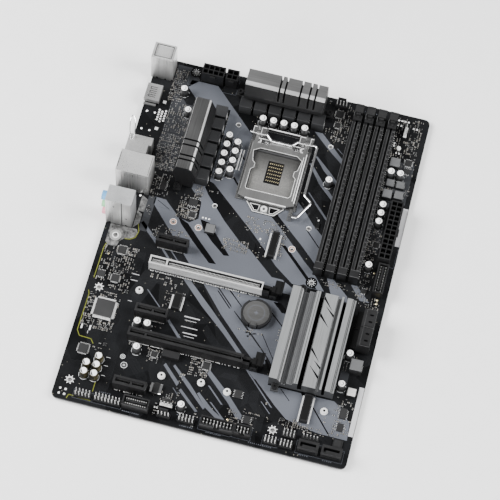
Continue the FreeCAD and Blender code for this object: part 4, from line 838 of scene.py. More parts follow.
for x, y in MOUNT_HOLES:
    if (x, y) in ((33.02, 298.65), (165.1, 141.17)):
        black_rings.tube((x, y), 2.1, 4.5, INK, INK * 2.4, 28)
        spokes(silk, x, y, 10, 0, 2.5, 3.3, 0.32, INK * 2.4, INK * 3)
    elif y > 120:
        dull_pads.tube((x, y), 2.05, 4.6, 0.02, 0.08, 28)
        tin_pads.tube((x, y), 2.05, 2.6, 0.08, 0.1, 28)
    else:
        tin_pads.tube((x, y), 2.05, 2.5, 0.0, 0.05, 28)
        spokes(tin_pads, x, y, 8, 0.5, 2.4, 3.7, 0.62, 0.0, 0.05)
for x, y in STAND_HOLES:
    copper_rings.tube((x, y), 1.52, 2.35, 0.0, 0.11, 28)
    tin_pads.tube((x, y), 2.35, 2.8, 0.0, 0.09, 28)
for x, y, r in ((43, 44.7, 1.9), (45.7, 38.2, 2.5)):
    silk.tube((x, y), r - 0.35, r, INK, INK * 2, 24)
    silk.tube((x, y), 0.5, 0.9, INK, INK * 2, 16)
for x, ys in ((13.8, (257.5, 255.2, 253, 250.6, 248.4)), (19.0, (257.5, 255.2, 253, 250.6, 248.4)),
              (16.3, (256.4, 254.2, 252, 249.6, 247.2))):
    round_pads(tin_pads, [(x, y) for y in ys], 0.85, 0.06, 0.6, 0.14, 0.03)
for y in (265.2, 240.3):
    tin_pads.block((14.4, y - 1.3, 0.03), (17.0, y + 1.3, 0.12), 0.05)
round_pads(tin_pads, ((4.3, 254), (10.7, 254), (4.3, 237.4), (10.7, 237.4), (19.4, 179.4), (4.4, 286.6),
                      (13.8, 286.6)), 0.9, 0.08, 0.5, 0.3)
round_pads(tin_pads, [(x, 173.4) for x in (71.2, 73.6, 76.2)], 0.75, 0.08, 0.4, 0.2)
round_pads(tin_pads, [(x, 299) for x in (199.6, 202.2, 204.8, 207.4)], 0.8, 0.1, 0.4, 0.3)
for x, y in ((199.8, 294.4), (202.4, 294.4), (212.4, 294.4), (215.2, 294.4), (200.4, 277.6), (200.4, 275.4),
             (203.6, 269.2), (205.8, 269.2), (76.6, 11.8), (78.4, 11.8), (118.4, 167.2), (158.2, 194.6)):
    tin_pads.plate(x, y, 0.6, 0.7, 0.0, 0.1, 0.04)
round_pads(gold_pads, ((209.8, 161.6), (216.8, 136.6), (216.8, 139.8), (9.2, 124.4), (131, 16),
                       (134.6, 12.6)),
           0.8, 0.1, 0.5, 0.25)
for low, high in (((6.0, 59.0), (7.2, 63.0)), ((12.4, 59.0), (13.6, 63.0)), ((4.6, 3.6), (6.0, 5.2)),
                  ((8.6, 3.6), (10.2, 5.2)), ((4.6, 7.6), (6.0, 9.2)), ((8.6, 7.6), (10.2, 9.2))):
    tin_pads.block((*low, 0.0), (*high, 0.12), 0.04)
# The bright plated patch beside the audio jacks, in irregular leaves.
patch = Pile("plated_patch", "mottled")
for outline in (((4, 150.2), (24.6, 150.2), (26.4, 147), (24.8, 143.4), (21.2, 140.8), (17.4, 140),
                 (14.6, 137), (13.2, 132), (6.4, 131.6), (4, 134.4)),
                ((20.9, 150.6), (25.4, 156), (25, 164), (20.9, 166)),
                ((21, 166), (27.6, 166), (28.4, 176), (21, 180))):
    patch.prism(outline, 0.0, 0.02)
patch.done()
bars = Pile("plated_bars", "rim")
for x in (85.5, 87.6):
    bars.block((x - 0.4, 221, 0.0), (x + 0.4, 240, 0.12), 0.05)
for x in (125.5, 133.4):
    bars.block((x - 0.6, 153, 0.0), (x + 0.6, 174.4, 0.3), 0.1)
for x0, y0, x1, y1 in ((180.6, 28, 181.8, 49.4), (188.6, 28, 189.8, 49.4), (65.6, 92, 66.9, 104),
                       (74.2, 92, 75.4, 104)):
    bars.block((x0, y0, 0.0), (x1, y1, 0.25), 0.08)
bars.done()

# Faint outlines and short ticks; none of them is lettering.
faint = Pile("silk_faint", "ink_grey")
for x0, y0, x1, y1 in ((211, 169.4, 223, 220.6), (28.8, 286.4, 68.6, 300.2), (30.6, 3.2, 52.8, 10.4),
                       (111.4, 3.2, 136.4, 12.6), (15.6, 3.4, 30, 10.4), (137.0, 3.6, 151, 12.8),
                       (184.8, 3.8, 220.2, 13.8), (159.6, 3.6, 171.4, 10.6)):
    corners = [(x0, y0), (x1, y0), (x1, y1), (x0, y1), (x0, y0)]
    faint.strip(corners, 0.2, INK, INK * 2)
for x0, y, count in ((54, 2.4, 9), (98, 2.2, 7), (118, 2.0, 8), (150, 2.4, 12), (188, 2.6, 5),
                     (206, 2.6, 5), (34, 12.6, 6), (94, 9.9, 4), (160, 12.4, 5), (76, 14.6, 3),
                     (212, 168.2, 4), (170, 299.2, 8), (100, 300.6, 10)):
    for k in range(count):
        if free(x0 + 1.5 * k, y, x0 + 1.5 * k + 1.0, y + 0.8, 0.0):
            faint.block((x0 + 1.5 * k, y, INK),
                        (x0 + 1.5 * k + 0.5 + 0.5 * chance.random(), y + 0.7, INK * 2))
faint.done()
for y in (34, 26, 41):
    silk.strip([(31.5, y), (34.5, y)], 0.3, INK, INK * 2)
for x, y in ((26.6, 37.6), (19.1, 30.4), (26.8, 30.4), (19.1, 23.1), (26.9, 23.1)):
    silk.tube((x, y), 3.7, 4.0, INK, INK * 2, 28)
for b in ISLANDS["polymer_capacitors"]:
    cx, cy = centre(b)
    silk.tube((cx, cy), 3.7, 3.95, INK * 2, INK * 3, 28, 0.05, 0.9)
# Plain bars where the board carries printed notes.
note_bars = Pile("silk_bars", "ink_pale")
for x, y, wide, tall in ((79, 88.2, 12, 0.9), (80, 85.6, 9, 0.4), (78.6, 79.8, 12.6, 0.6),
                         (81, 75.0, 11, 0.8), (82.4, 72.6, 8, 0.4), (31.6, 112.6, 5.4, 0.5),
                         (31.6, 107.4, 5.4, 0.5), (34.2, 90.0, 3.2, 0.4), (12.0, 56.0, 0.4, 2.4)):
    note_bars.block((x, y, INK), (x + wide, y + tall, INK * 2))
for pile in (note_bars, silk, tin_pads, dull_pads, gold_pads, copper_rings, black_rings):
    pile.done()

# ---------------------------------------------------------------- small parts

SMD = {
    "tan": Pile("smd_capacitors", "tan"), "slate": Pile("smd_resistors", "slate"),
    "black": Pile("smd_transistors", "epoxy"), "ends": Pile("smd_ends", "dull_tin"),
}
# Length, width and height of a small part, after the draw below which it is taken.
SMD_SIZES = (
    (0.45, (1.0, 0.5, 0.4)), (0.75, (1.6, 0.8, 0.6)), (0.88, (1.6, 0.8, 0.5)), (0.96, (2.0, 1.2, 0.7)),
    (1.0, (2.9, 1.6, 1.0)),
)
TRANSISTOR_SIZE = SMD_SIZES[-1][1]


def small_part(x, y, along_x, kind, size):
    """A chip capacitor or resistor with two plated ends, or a transistor with four legs."""
    length, width, height = size
    half, side = length / 2, width / 2
    a, b = (half, side) if along_x else (side, half)
    if not free(x - a, y - b, x + a, y + b, 0.12):
        return
    taken.append((x - a, y - b, x + a, y + b))

    def put(look, u0, v0, u1, v1, low, high, inset):
        """A block measured along and across the part."""
        if not along_x:
            u0, v0, u1, v1 = v0, u0, v1, u1
        SMD[look].block((x + u0, y + v0, low), (x + u1, y + v1, high), inset)

    if kind == "black":
        put(kind, -half, -side, half, side, 0.1, height, height * 0.2)
        for v in (-side - 0.25, side + 0.25):
            for u in (-0.3 * length, 0.3 * length):
                put("ends", u - 0.25, v - 0.25, u + 0.25, v + 0.25, 0, 0.3, 0.08)
        return
    end = length * 0.24
    put(kind, end - half, -side, half - end, side, 0.05, height, 0.06)
    for u in (-half, half - end):
        put("ends", u, -side - 0.02, u + end, side + 0.02, 0, height + 0.03, 0.06)


# Zones filled with small parts: corners, pitch and the share of spots that are used.
ZONES = (
    (17, 268, 28, 300, 1.8, 0.8), (20.5, 205, 40.5, 240, 1.6, 0.78), (20.5, 240, 40, 268, 1.8, 0.6),
    (22, 183, 41, 204, 1.8, 0.62), (50, 169, 66.5, 204, 1.6, 0.78), (27, 164, 33, 181, 2.4, 0.4),
    (91, 151, 112, 162.5, 1.7, 0.85), (104, 171, 140, 186, 1.9, 0.62), (133.8, 150, 138, 178, 2.0, 0.5),
    (119, 150, 126, 168, 2.2, 0.35), (44, 147.5, 66, 158, 2.0, 0.4), (36, 148, 44, 164, 2.0, 0.3),
    (14, 96, 32, 135, 1.8, 0.6), (5, 97, 14, 131, 2.0, 0.42), (5, 62, 11, 92, 1.7, 0.7),
    (27.6, 62, 31, 92, 1.8, 0.6), (8, 61, 31, 70, 1.7, 0.7), (11, 88, 28, 94, 1.8, 0.65),
    (60, 92, 66, 107, 1.8, 0.5), (57, 105, 76, 118, 2.0, 0.35), (93, 43, 109, 58, 1.8, 0.65),
    (88, 24, 93, 46, 1.9, 0.5), (60, 45, 73, 58, 1.9, 0.5), (78, 16, 92, 27, 1.9, 0.55),
    (150, 266, 164, 303, 1.9, 0.6), (142, 268, 150, 303, 2.3, 0.3), (199, 264, 221, 303, 1.9, 0.55),
    (199, 233, 221, 262, 2.0, 0.45), (199.5, 166, 208.5, 200, 1.8, 0.6), (166, 141, 204, 147.4, 1.8, 0.6),
    (199, 131, 221, 141.6, 1.9, 0.6), (200, 142, 210.6, 160, 2.1, 0.4), (167, 20, 192, 30, 1.8, 0.6),
    (186, 20.5, 212, 28, 1.9, 0.55), (205, 24, 220, 56, 2.1, 0.4), (203.6, 64, 209, 100, 2.0, 0.35),
    (11, 40, 19, 49.4, 1.7, 0.5), (19, 40, 32, 53, 1.9, 0.5), (43, 113, 70, 118.5, 2.2, 0.3),
    (45, 73.5, 66, 78, 2.0, 0.3), (44, 53, 70, 57.8, 2.1, 0.4), (44, 14, 68, 17.2, 2.0, 0.4),
    (67, 194, 79, 203, 2.2, 0.35), (67, 206, 70.6, 262, 2.1, 0.3), (100, 112, 128, 118.5, 2.6, 0.12),
    (138, 24, 160, 30, 2.2, 0.35), (128, 13.4, 152, 26, 2.0, 0.45), (120, 88, 142, 92, 2.2, 0.25),
    (130, 80, 133, 92, 2.0, 0.5), (66, 20, 80, 31, 2.1, 0.35), (150, 84, 153, 98, 2.2, 0.5),
    (139, 190, 151, 200, 2.4, 0.2), (155, 190, 164, 206, 2.6, 0.15), (154, 34, 170, 46, 3.4, 0.15),
    (190, 28, 204, 40, 3.0, 0.15), (95, 60, 120, 66, 3.0, 0.1), (76, 6, 80, 16, 2.0, 0.4),
    (106, 3, 111, 15, 2.0, 0.4),
)


def spots(x0, y0, x1, y1, pitch, share):
    """The places of a zone's grid that a draw keeps."""
    for i in range(int((x1 - x0) / pitch)):
        for j in range(int((y1 - y0) / pitch)):
            if chance.random() <= share:
                yield x0 + (i + 0.5) * pitch, y0 + (j + 0.5) * pitch


for zone in ZONES:
    rows_along = chance.random() < 0.5
    for x, y in spots(*zone):
        x += chance.uniform(-0.12, 0.12)
        y += chance.uniform(-0.12, 0.12)
        pick = chance.random()
        size = next(size for limit, size in SMD_SIZES if pick < limit)
        kind = "black" if size is TRANSISTOR_SIZE else ("tan" if chance.random() < 0.6 else "slate")
        small_part(x, y, rows_along if chance.random() < 0.8 else not rows_along, kind, size)
for pile in SMD.values():
    pile.done()

# ---------------------------------------------------------------- chip leads

leads = Pile("chip_leads", "rim")


def gull_leads(x0, y0, x1, y1, sides, pitch=0.5, reach=1.8, height=0.8):
    """Bent leads along the named sides of a chip body."""
    for side in sides:
        along_x = side in "ns"
        low, high = (x0, x1) if along_x else (y0, y1)
        count = int((high - low - 0.6) / pitch)
        for k in range(count + 1):
            s = (low + high) / 2 + (k - count / 2) * pitch
            for near, far, z0, z1 in ((0.0, 0.6, height * 0.5, height * 0.68),
                                      (0.5, 0.85, 0.02, height * 0.68), (0.8, reach, 0.02, 0.22)):
                lead = {"n": (s - 0.13, y1 + near, s + 0.13, y1 + far),
                        "s": (s - 0.13, y0 - far, s + 0.13, y0 - near),
                        "e": (x1 + near, s - 0.13, x1 + far, s + 0.13),
                        "w": (x0 - far, s - 0.13, x0 - near, s + 0.13)}
                leads.block((*lead[side][:2], z0), (*lead[side][2:], z1))


io_chip = ISLANDS["super_io_chip"][0]
gull_leads(io_chip[0], io_chip[1], io_chip[3], io_chip[4], "nsew", 0.42, 1.8, 1.4)
for b in ISLANDS["small_chips"]:
    wide, tall = b[3] - b[0], b[4] - b[1]
    if abs(wide - tall) < 0.3:
        gull_leads(b[0], b[1], b[3], b[4], "nsew", 0.7, 0.9, 0.4)
    else:
        gull_leads(b[0], b[1], b[3], b[4], "ns" if wide > tall else "ew", 1.27, 1.1, 0.8)
leads.done()

chip_marks = Pile("chip_marks", "ink_dim")
for b in ISLANDS["small_chips"] + ISLANDS["super_io_chip"]:
    if b[3] - b[0] > 4:
        chip_marks.tube((b[0] + 1.0, b[4] - 1.0), 0.2, 0.42, b[5], b[5] + 0.02, 14)
chip_marks.done()

crystals = Pile("crystals", "can")
for x0, y0, x1, y1 in ((7.6, 60, 12, 62.2), (23, 193.4, 28.6, 197), (157, 187, 160, 192),
                       (209, 33, 211.4, 40)):
    if free(x0, y0, x1, y1, 0.0):
        crystals.block((x0, y0, 0), (x1, y1, 1.1), 0.3)
crystals.done()

# ---------------------------------------------------------------- capacitors and chokes

can_marks = Pile("can_marks", "epoxy")
can_tops = Pile("can_tops", "can_top")
can_feet = Pile("can_feet", "black")
for name in ("polymer_capacitors", "audio_capacitors"):
    for b in ISLANDS[name]:
        cx, cy = centre(b)
        top, radius = b[5], min(b[3] - b[0], b[4] - b[1]) / 2
        can_tops.lathe((cx, cy, top), ((2.5, -0.02), (2.5, 0.08), (2.25, 0.16)), sides=28)
        can_marks.tube((cx, cy), 2.46, 2.86, top - 0.02, top + 0.06, 28)
        can_feet.prism([(cx + sx * 3.15 - (0.9 if sx * sy > 0 and sx > 0 else 0), cy + sy * 3.15)
                        for sx, sy in SQUARE], 0.0, 0.7, 0.1)
        if name == "polymer_capacitors":
            can_marks.tube((cx, cy), 1.05, 1.6, top + 0.1, top + 0.19, 24, 0.72, 0.5)
            can_marks.tube((cx, cy), radius - 0.1, radius + 0.04, 1.5, 1.9, 28)
        else:
            can_marks.prism([(cx + 2.3 * math.cos(a), cy + 2.3 * math.sin(a))
                             for a in (math.radians(150 + 15 * k) for k in range(9))], top + 0.1, top + 0.2)
            can_marks.tube((cx, cy), radius - 0.02, radius + 0.06, 2.0, 6.2, 28, 0.3, 0.5)
can_marks.done()
can_tops.done(smooth=True)
can_feet.done()

choke_caps = Pile("choke_caps", "ferrite")
painted_shadow_caps = Pile("choke_caps_painted_shadow", "ferrite_painted_shadow")
pale_caps = Pile("choke_caps_pale", "ferrite_pale")
white_caps = Pile("choke_caps_white", "pale_box")
choke_legs = Pile("choke_legs", "tin")
for b in ISLANDS["chokes"]:
    side = b[3] - b[0]
    pale = b[0] > 198 or side < 9
    pile = pale_caps if pale else choke_caps
    if b[4] < 66:
        pile = white_caps
    # The top row sits under the top heatsink: its caps take a painted shadow.
    elif b[1] > 262 and b[0] < 198:
        pile = painted_shadow_caps
    pile.block((b[0] + 0.25, b[1] + 0.25, b[5]), (b[3] - 0.25, b[4] - 0.25, b[5] + 0.22), 0.2)
    for x in (b[0] - 0.12, b[3] - 0.1):
        choke_legs.block((x, b[1] + side * 0.3, 0), (x + 0.22, b[4] - side * 0.3, b[5] * 0.55), 0.1)
for pile in (choke_caps, painted_shadow_caps, white_caps, pale_caps, choke_legs):
    pile.done()

# ---------------------------------------------------------------- contacts inside sockets and slots

slot_gold = Pile("slot_contacts", "dark_tin")
for x in MEMORY_ROWS:
    for k in range(int(132 / 0.85)):
        y = 153.2 + 0.85 * k
        if 212.4 < y < 215.2:
            continue
        for side in (-1, 1):
            slot_gold.plate(x + side * 0.62, y, 0.12, 0.2, 4.6, 6.9)
for row, end in card_rows(65.4, 129.0):
    for k in range(int((end - 44.6) / 1.0)):
        x = 44.8 + k
        if CARD_KEY[0] < x < CARD_KEY[1]:
            continue
        for side in (-1, 1):
            slot_gold.plate(x, row + side * 0.74, 0.25, 0.16, 6.0, 9.6)
for x0, y0, y1, z in ((130.0, 154.0, 173.4, 2.7), (186.0, 29.0, 48.4, 2.7), (68.6, 92.8, 103.2, 2.7)):
    for k in range(int((y1 - y0) / 0.5)):
        slot_gold.block((x0, y0 + 0.5 * k, z), (x0 + 1.2, y0 + 0.5 * k + 0.26, z + 0.25))
slot_gold.done()

shield_gold = Pile("shielded_contacts", "rim")
for k in range(84):
    x = 44.8 + k
    if CARD_KEY[0] < x < CARD_KEY[1]:
        continue
    for side in (-1, 1):
        near, far = sorted((SHIELDED_ROW + side * 0.5, SHIELDED_ROW + side * 1.02))
        shield_gold.prism([(x - 0.22, near), (x + 0.1, near), (x + 0.4, far), (x + 0.08, far)], 5.0, 10.6)
shield_gold.done()
feet = Pile("slot_feet", "tin")
for row, end in card_rows(66.4, 130.4):
    for k in range(int((end - 44) / 1.0)):
        for side, shift in ((-1, 0.0), (1, 0.5)):
            if chance.random() < 0.86:
                y = row + side * 3.95
                feet.block((44 + k + shift, y - 0.28, 0.0), (44.42 + k + shift, y + 0.28, 0.5), 0.1)
for x in MEMORY_ROWS:
    for k in range(66):
        y = 153.6 + 2.0 * k
        feet.block((x + 3.55, y, 0.0), (x + 4.1, y + 0.4, 0.35), 0.08)
feet.done()

ribs = Pile("slot_ribs", "dark")
for x in MEMORY_ROWS:
    for k in range(26):
        y = 157.0 + 4.8 * k
        for side in (-1, 1):
            ribs.block((x + side * 3.42 - 0.1, y, 0.6), (x + side * 3.42 + 0.1, y + 3.2, 6.6), 0.08)
for row, end in card_rows(66.6, 130.4):
    if row == SHIELDED_ROW:
        continue
    for k in range(int((end - 44) / 3.0)):
        for side in (-1, 1):
            ribs.block((44.0 + 3 * k, row + side * 3.5 - 0.12, 0.8),
                       (46.2 + 3 * k, row + side * 3.5 + 0.12, 8.6), 0.1)
ribs.done()
# Painted highlights: lighter lines along the top edges of the memory slots and the drive block, with short
# bright ticks.
edges = Pile("memory_edge_highlights", "edge")
MEMORY_TOP, TOWER_TOP, DRIVE_TOP = 8.38, 12.0, 15.15
for index, x in enumerate(MEMORY_ROWS):
    for offset in (-3.3, -1.15, 1.15, 3.3):
        edges.block((x + offset - 0.12, 153.0, MEMORY_TOP), (x + offset + 0.12, 283.4, MEMORY_TOP + 0.08),
                    0.03)
    for k in range(31):
        y = 155.0 + 4.2 * k + (0.9 if index % 2 else 0.0)
        edges.block((x + 1.5, y, MEMORY_TOP), (x + 2.9, y + 0.7, MEMORY_TOP + 0.09), 0.03)
    for y0, y1 in ((148.3, 148.7), (153.9, 154.2)):
        edges.block((x - 3.3, y0, TOWER_TOP), (x + 3.3, y1, TOWER_TOP + 0.1), 0.04)
    edges.block((x - 3.3, 284.0, 15.7), (x - 3.0, 288.6, 15.8), 0.04)
for y in (93.3, 108.9, 123.9):
    edges.block((212.0, y - 0.12, DRIVE_TOP), (219.4, y + 0.12, DRIVE_TOP + 0.1), 0.04)
for x in (212.0, 219.4):
    edges.block((x - 0.1, 93.4, DRIVE_TOP), (x + 0.1, 123.8, DRIVE_TOP + 0.1), 0.04)
edges.done()

# Folded tabs and slits along the foot of the steel jacket.
tabs = Pile("shield_tabs", "shield")
dark_slots = Pile("shield_slots", "black")
for side in (-1, 1):
    y = SHIELDED_ROW + side * 3.53
    dark_slots.block((43.2, y - 0.1, 0.15), (130.6, y + 0.1, 2.7))
    for level in (9.9, 6.2, 4.3):
        tabs.block((43.2, y - 0.05, level), (130.6, y + 0.08, level + 0.18), 0.04)
for k in range(44):
    x = 43.6 + 1.98 * k
    for side in (-1, 1):
        y = SHIELDED_ROW + side * 3.66
        tabs.block((x, y - 0.14, 0), (x + 0.8, y + 0.14, 1.3), 0.1)
tabs.done()
dark_slots.done()

# Insulating labels of the module sockets.
labels = Pile("socket_labels", "void")
for x0, y0, x1, y1 in ((127.6, 154.0, 131.4, 173.4), (182.9, 29.0, 187.4, 48.4), (68.2, 92.4, 73.0, 103.6)):
    labels.block((x0, y0, 4.2), (x1, y1, 4.32), 0.06)
labels.done()

# ---------------------------------------------------------------- rear connectors

tongue_blue = Pile("port_tongues", "blue")
tongue_black = Pile("port_tongues_black", "black")
port_gold = Pile("port_contacts", "gold")
for pile, yc, z in ((tongue_black, 292.8, 2.0), (tongue_black, 292.8, 9.4), (tongue_blue, 215.2, 2.0),
                    (tongue_blue, 215.2, 9.0), (tongue_blue, 190.5, 2.0), (tongue_blue, 190.5, 9.6)):
    pile.block((1.4, yc - 5.5, z + 3.2), (13.0, yc + 5.5, z + 4.9), 0.2)
    for k in range(4):
        y = yc - 3.6 + 2.4 * k
        port_gold.block((2.0, y - 0.5, z + 2.95), (9.0, y + 0.5, z + 3.25), 0.08)
face = Pile("keyboard_face", "black")
face.lathe((6.0, 292.8, 22.0), ((4.7, 0), (4.7, 5.0), (4.2, 5.6)), axis="x", sides=32)
face.done()
for degrees in range(30, 360, 60):
    a = math.radians(degrees)
    port_gold.lathe((4.9, 292.8 + 2.9 * math.cos(a), 22.0 + 2.9 * math.sin(a)),
                    ((0.4, 0), (0.4, 1.2), (0.25, 1.4)),
                    axis="x", sides=10)
tongue_black.block((1.6, 262.6, 3.6), (9.2, 273.6, 4.8), 0.2)
for k in range(18):
    port_gold.block((2.0, 263.2 + 0.56 * k, 3.4), (8.0, 263.5 + 0.56 * k, 3.62))
tongue_black.block((12.0, 184.8, 17.2), (13.4, 196.2, 25.2), 0.2)
for k in range(8):
    port_gold.wire([(13.0, 186.9 + 1.02 * k, 25.0), (7.0, 186.9 + 1.02 * k, 24.4),
                    (3.4, 186.9 + 1.02 * k, 22.0)], 0.18, 6)
tongue_blue.done()
tongue_black.done()
port_gold.done()

shell = Pile("port_shell_folds", "port")
# The walls that face the board's bottom edge, each a plane of one y.
KEYBOARD_WALL, LAN_WALL, AUDIO_WALL = 285.36, 180.95, 150.36
# Raised roof frame and seam of the keyboard stack.
shell.border(0.2, 286.6, 15.6, 299.2, 0.6, 29.4, 29.9, 0.12)
for x in (4.6, 9.8):
    shell.block((x, KEYBOARD_WALL, 1), (x + 0.5, KEYBOARD_WALL + 0.2, 28), 0.08)
# Spring fingers on the port walls.
for y, z in ((286.9, 4.6), (286.9, 12.0), (298.7, 4.6), (298.7, 12.0), (209.2, 4.6), (209.2, 11.6),
             (221.2, 4.6), (221.2, 11.6), (184.5, 4.6), (184.5, 12.2), (196.5, 4.6), (196.5, 12.2)):
    shell.block((0.4, y - 0.12, z - 0.8), (6.6, y + 0.12, z + 0.8), 0.1)
for k in range(7):
    x = 2.6 + 3.1 * k
    shell.block((x, LAN_WALL, 2.0), (x + 1.6, LAN_WALL + 0.25, 27.6), 0.12)
for x in (12.6, 1.6):
    shell.block((x, AUDIO_WALL + 0.1, 1.0), (x + 0.4, AUDIO_WALL + 0.3, 35.0), 0.08)
shell.block((13.2, 150.3, 0.6), (19.6, 150.7, 35.4), 0.1)
shell.block((-0.1, AUDIO_WALL, 0.6), (12.2, AUDIO_WALL + 0.34, 35.4), 0.1)
shell.block((3.0, 190.2, 29.58), (24.6, 190.5, 29.68), 0.03)
shell.block((2.0, 157.3, 36.0), (20.0, 157.5, 36.08), 0.03)
for x, y in ((3.2, 210.4), (3.2, 220.0), (13.4, 210.4), (13.4, 220.0)):
    shell.tube((x, y), 0.7, 1.2, 15.38, 15.5, 18)
shell.done()
cuts = Pile("port_cuts", "void")
# Spring fingers cut in the roofs, the recess of the keyboard stack, seams and foot slots, drawn as thin dark
# sheets: painted shade in the openings.
for y in (264.4, 268.0, 271.6):
    for low, high in (((2.6, y - 1.1), (8.2, y - 0.7)), ((2.6, y + 0.7), (8.2, y + 1.1)),
                      ((2.6, y - 1.1), (3.1, y + 1.1))):
        cuts.block((*low, 6.88), (*high, 7.0))
cuts.border(1.0, 287.3, 14.8, 298.5, 0.3, 29.3, 29.96)
cuts.block((-0.4, 184.0, 29.56), (0.0, 197.2, 29.66))
cuts.block((24.2, 182.2, 29.56), (24.5, 198.8, 29.66))
cuts.block((3.2, 180.98, 12.2), (3.5, 181.2, 14.6))
for x in (3.0, 9.6, 15.2):
    cuts.block((x, 285.4, 0.2), (x + 1.6, 285.6, 1.6))
for x in (4.0, 12.0, 20.0):
    cuts.block((x, 181.0, 0.2), (x + 1.8, 181.2, 1.6))
for x in (2.0, 15.0):
    cuts.block((x, 150.2, 0.2), (x + 1.8, 150.36, 1.8))
for x, z in ((6.4, 27.4), (16.2, 12.4)):
    cuts.lathe((x, AUDIO_WALL - 0.11, z), ((0.6, 0), (0.6, 0.12)), axis="y", sides=14)
cuts.block((12.45, 150.32, 0.8), (12.9, 150.6, 35.2))
cuts.done()

loop = Pile("port_ground_loop", "chrome")
# A narrow closed loop that stands on the port roof and leans toward the board's far edge.
path = []
for k in range(29):
    turn = 2 * math.pi * k / 28
    t = (1 - math.cos(turn)) / 2
    path.append((2.0 - 2.4 * t + 2.1 * math.sin(turn), 217.6 + 14.0 * t,
                 15.4 + 12.4 * math.sin(t * math.pi / 2)))
loop.wire(path, 0.34, 8)
loop.done(smooth=True)

# ---------------------------------------------------------------- other bright bits

bright = Pile("bright_trim", "chrome")
dark_trim = Pile("dark_trim", "black")
# The open middle of the contact field has a dark floor and rows of sprung gold tips.
window_floor = Pile("window_floor", "void")
window_floor.block((108.6, 214.8, 1.2), (121.2, 234.8, 1.74), 0.04)
window_floor.done()
tips = Pile("contact_tips", "gold")
for row in range(6):
    for column in range(7):
        x, y = 109.9 + 1.6 * column, 216.6 + 3.05 * row
        tips.prism([(x, y), (x + 0.8, y + 0.5), (x + 0.9, y + 1.5), (x + 0.2, y + 1.0)], 1.74, 1.95, 0.06)
tips.done()
# Rolled rims of the load plate ride with it; their near-white colour is a painted highlight.
rims = Pile("plate_rims", "rim", "plate")
rims.wire([(136.4, 201.0, 4.9), (136.4, 224.0, 5.0), (136.4, 246.0, 4.9)], 0.42, 8)
rims.wire([(134.6, 203.0, 4.9), (134.6, 224.0, 4.95), (134.6, 243.0, 4.9)], 0.26, 8)
rims.wire([(98.4, 196.9, 4.5), (106.0, 196.8, 4.6), (115.0, 196.8, 4.6), (131.0, 196.9, 4.5)], 0.6, 10)
rims.wire([(92.9, 204.0, 4.7), (92.8, 224.0, 4.7), (92.9, 246.0, 4.7)], 0.34, 8)
rims.wire([(96.0, 250.9, 4.7), (115.0, 251.0, 4.7), (130.0, 250.9, 4.7)], 0.3, 8)
window = [(97.4, 204.8), (131.0, 204.8), (132.5, 206.5), (132.5, 222.6), (130.3, 224.4), (130.3, 228.4),
          (132.5, 230.2), (134.0, 239.3), (129.5, 242.5), (99.7, 242.5), (94.8, 239.3), (96.4, 230.2),
          (98.7, 228.2), (98.7, 224.4), (96.4, 222.6), (96.4, 206.2), (97.4, 204.8)]
rims.wire([(x, y, 4.86) for x, y in window], 0.2, 6)
rims.done(smooth=True)
# Painted highlights on the fixed frame: lug tops, rear wall, nose outline and the collars of its screws.
frame_edge_highlights = Pile("frame_edge_highlights", "rim")
for low, high in ((90.6, 93.2), (97.0, 100.9), (128.2, 132.4), (136.6, 138.9)):
    for y in (252.7, 258.7):
        frame_edge_highlights.block((low + 0.1, y, 8.0), (high - 0.1, y + 0.5, 8.08), 0.03)
    frame_edge_highlights.block((low + 0.1, 253.2, 8.0), (low + 0.4, 258.7, 8.08), 0.03)
frame_edge_highlights.block((101.7, 261.0, 4.4), (127.3, 261.8, 4.5), 0.04)
frame_edge_highlights.strip([(100.2, 196.2), (106.7, 188.7), (123.3, 188.7), (129.8, 196.2)], 0.5, 1.0, 1.14)
for mirror in (1, -1):
    outline = [(103.2, 195.0), (107.6, 190.1), (110.4, 190.1), (111.0, 195.0), (103.2, 195.0)]
    frame_edge_highlights.strip([(115.0 + (x - 115.0) * mirror, y) for x, y in outline], 0.4, 1.0, 1.12)
for b in ISLANDS["socket_screws"]:
    frame_edge_highlights.tube(centre(b), 1.25, 2.6, b[5], b[5] + 0.08, 24)
frame_edge_highlights.done()
# White and dark strips, push-button, small connector with bright ends.
white = Pile("white_connectors", "white")
white.block((80.0, 12.9, 3.2), (89.4, 15.4, 3.5), 0.1)
white.block((205.8, 283.0, 3.2), (208.2, 292.0, 3.5), 0.1)
white.lathe((204.6, 273.4, 0), ((1.7, 0), (1.7, 1.6), (1.3, 1.9)), sides=20)
white.done()
for x0, x1 in ((69.6, 71.4), (76.4, 78.4)):
    bright.block((x0, 21.4, 0), (x1, 29.6, 2.6), 0.3)
dark_trim.block((71.6, 21.0, 0), (76.2, 30.0, 3.0), 0.4)
dark_trim.prism([(71.0, 51.0), (84.0, 51.0), (84.0, 56.6), (71.0, 56.6)], 0, 5.0, 0.4)
dark_trim.block((210.4, 14.4, 0), (217.6, 21.6, 1.3), 0.2)
bright.done()
dark_trim.done()

# Dark discs on the standoff tops: painted shade in their bores.
bores = Pile("standoff_bores", "void")
collars = Pile("standoff_collars", "rim")
for b in ISLANDS["m2_standoffs"]:
    cx, cy = centre(b)
    bores.lathe((cx, cy, b[5]), ((0.85, -0.05), (0.85, 0.06)), sides=16)
    collars.tube((cx, cy), 1.0, 2.15, b[5] - 0.02, b[5] + 0.1, 24)
    collars.tube((cx, cy), 2.35, 2.85, 0.78, 0.9, 24)
for pile in (bores, collars):
    pile.done()
# Pale linings in the holes: bare board edge, painted brighter to stand in for a lit backdrop showing through.
linings = Pile("hole_linings", "can_top")
for x, y in MOUNT_HOLES + COOLER_HOLES:
    radius = 1.98 if (x, y) in MOUNT_HOLES else 2.0
    linings.tube((x, y), radius - 0.12, radius - 0.01, UNDER + 0.02, 0.05, 28)
for x, y in STAND_HOLES:
    linings.tube((x, y), 1.36, 1.48, UNDER + 0.02, 0.05, 28)
linings.done()

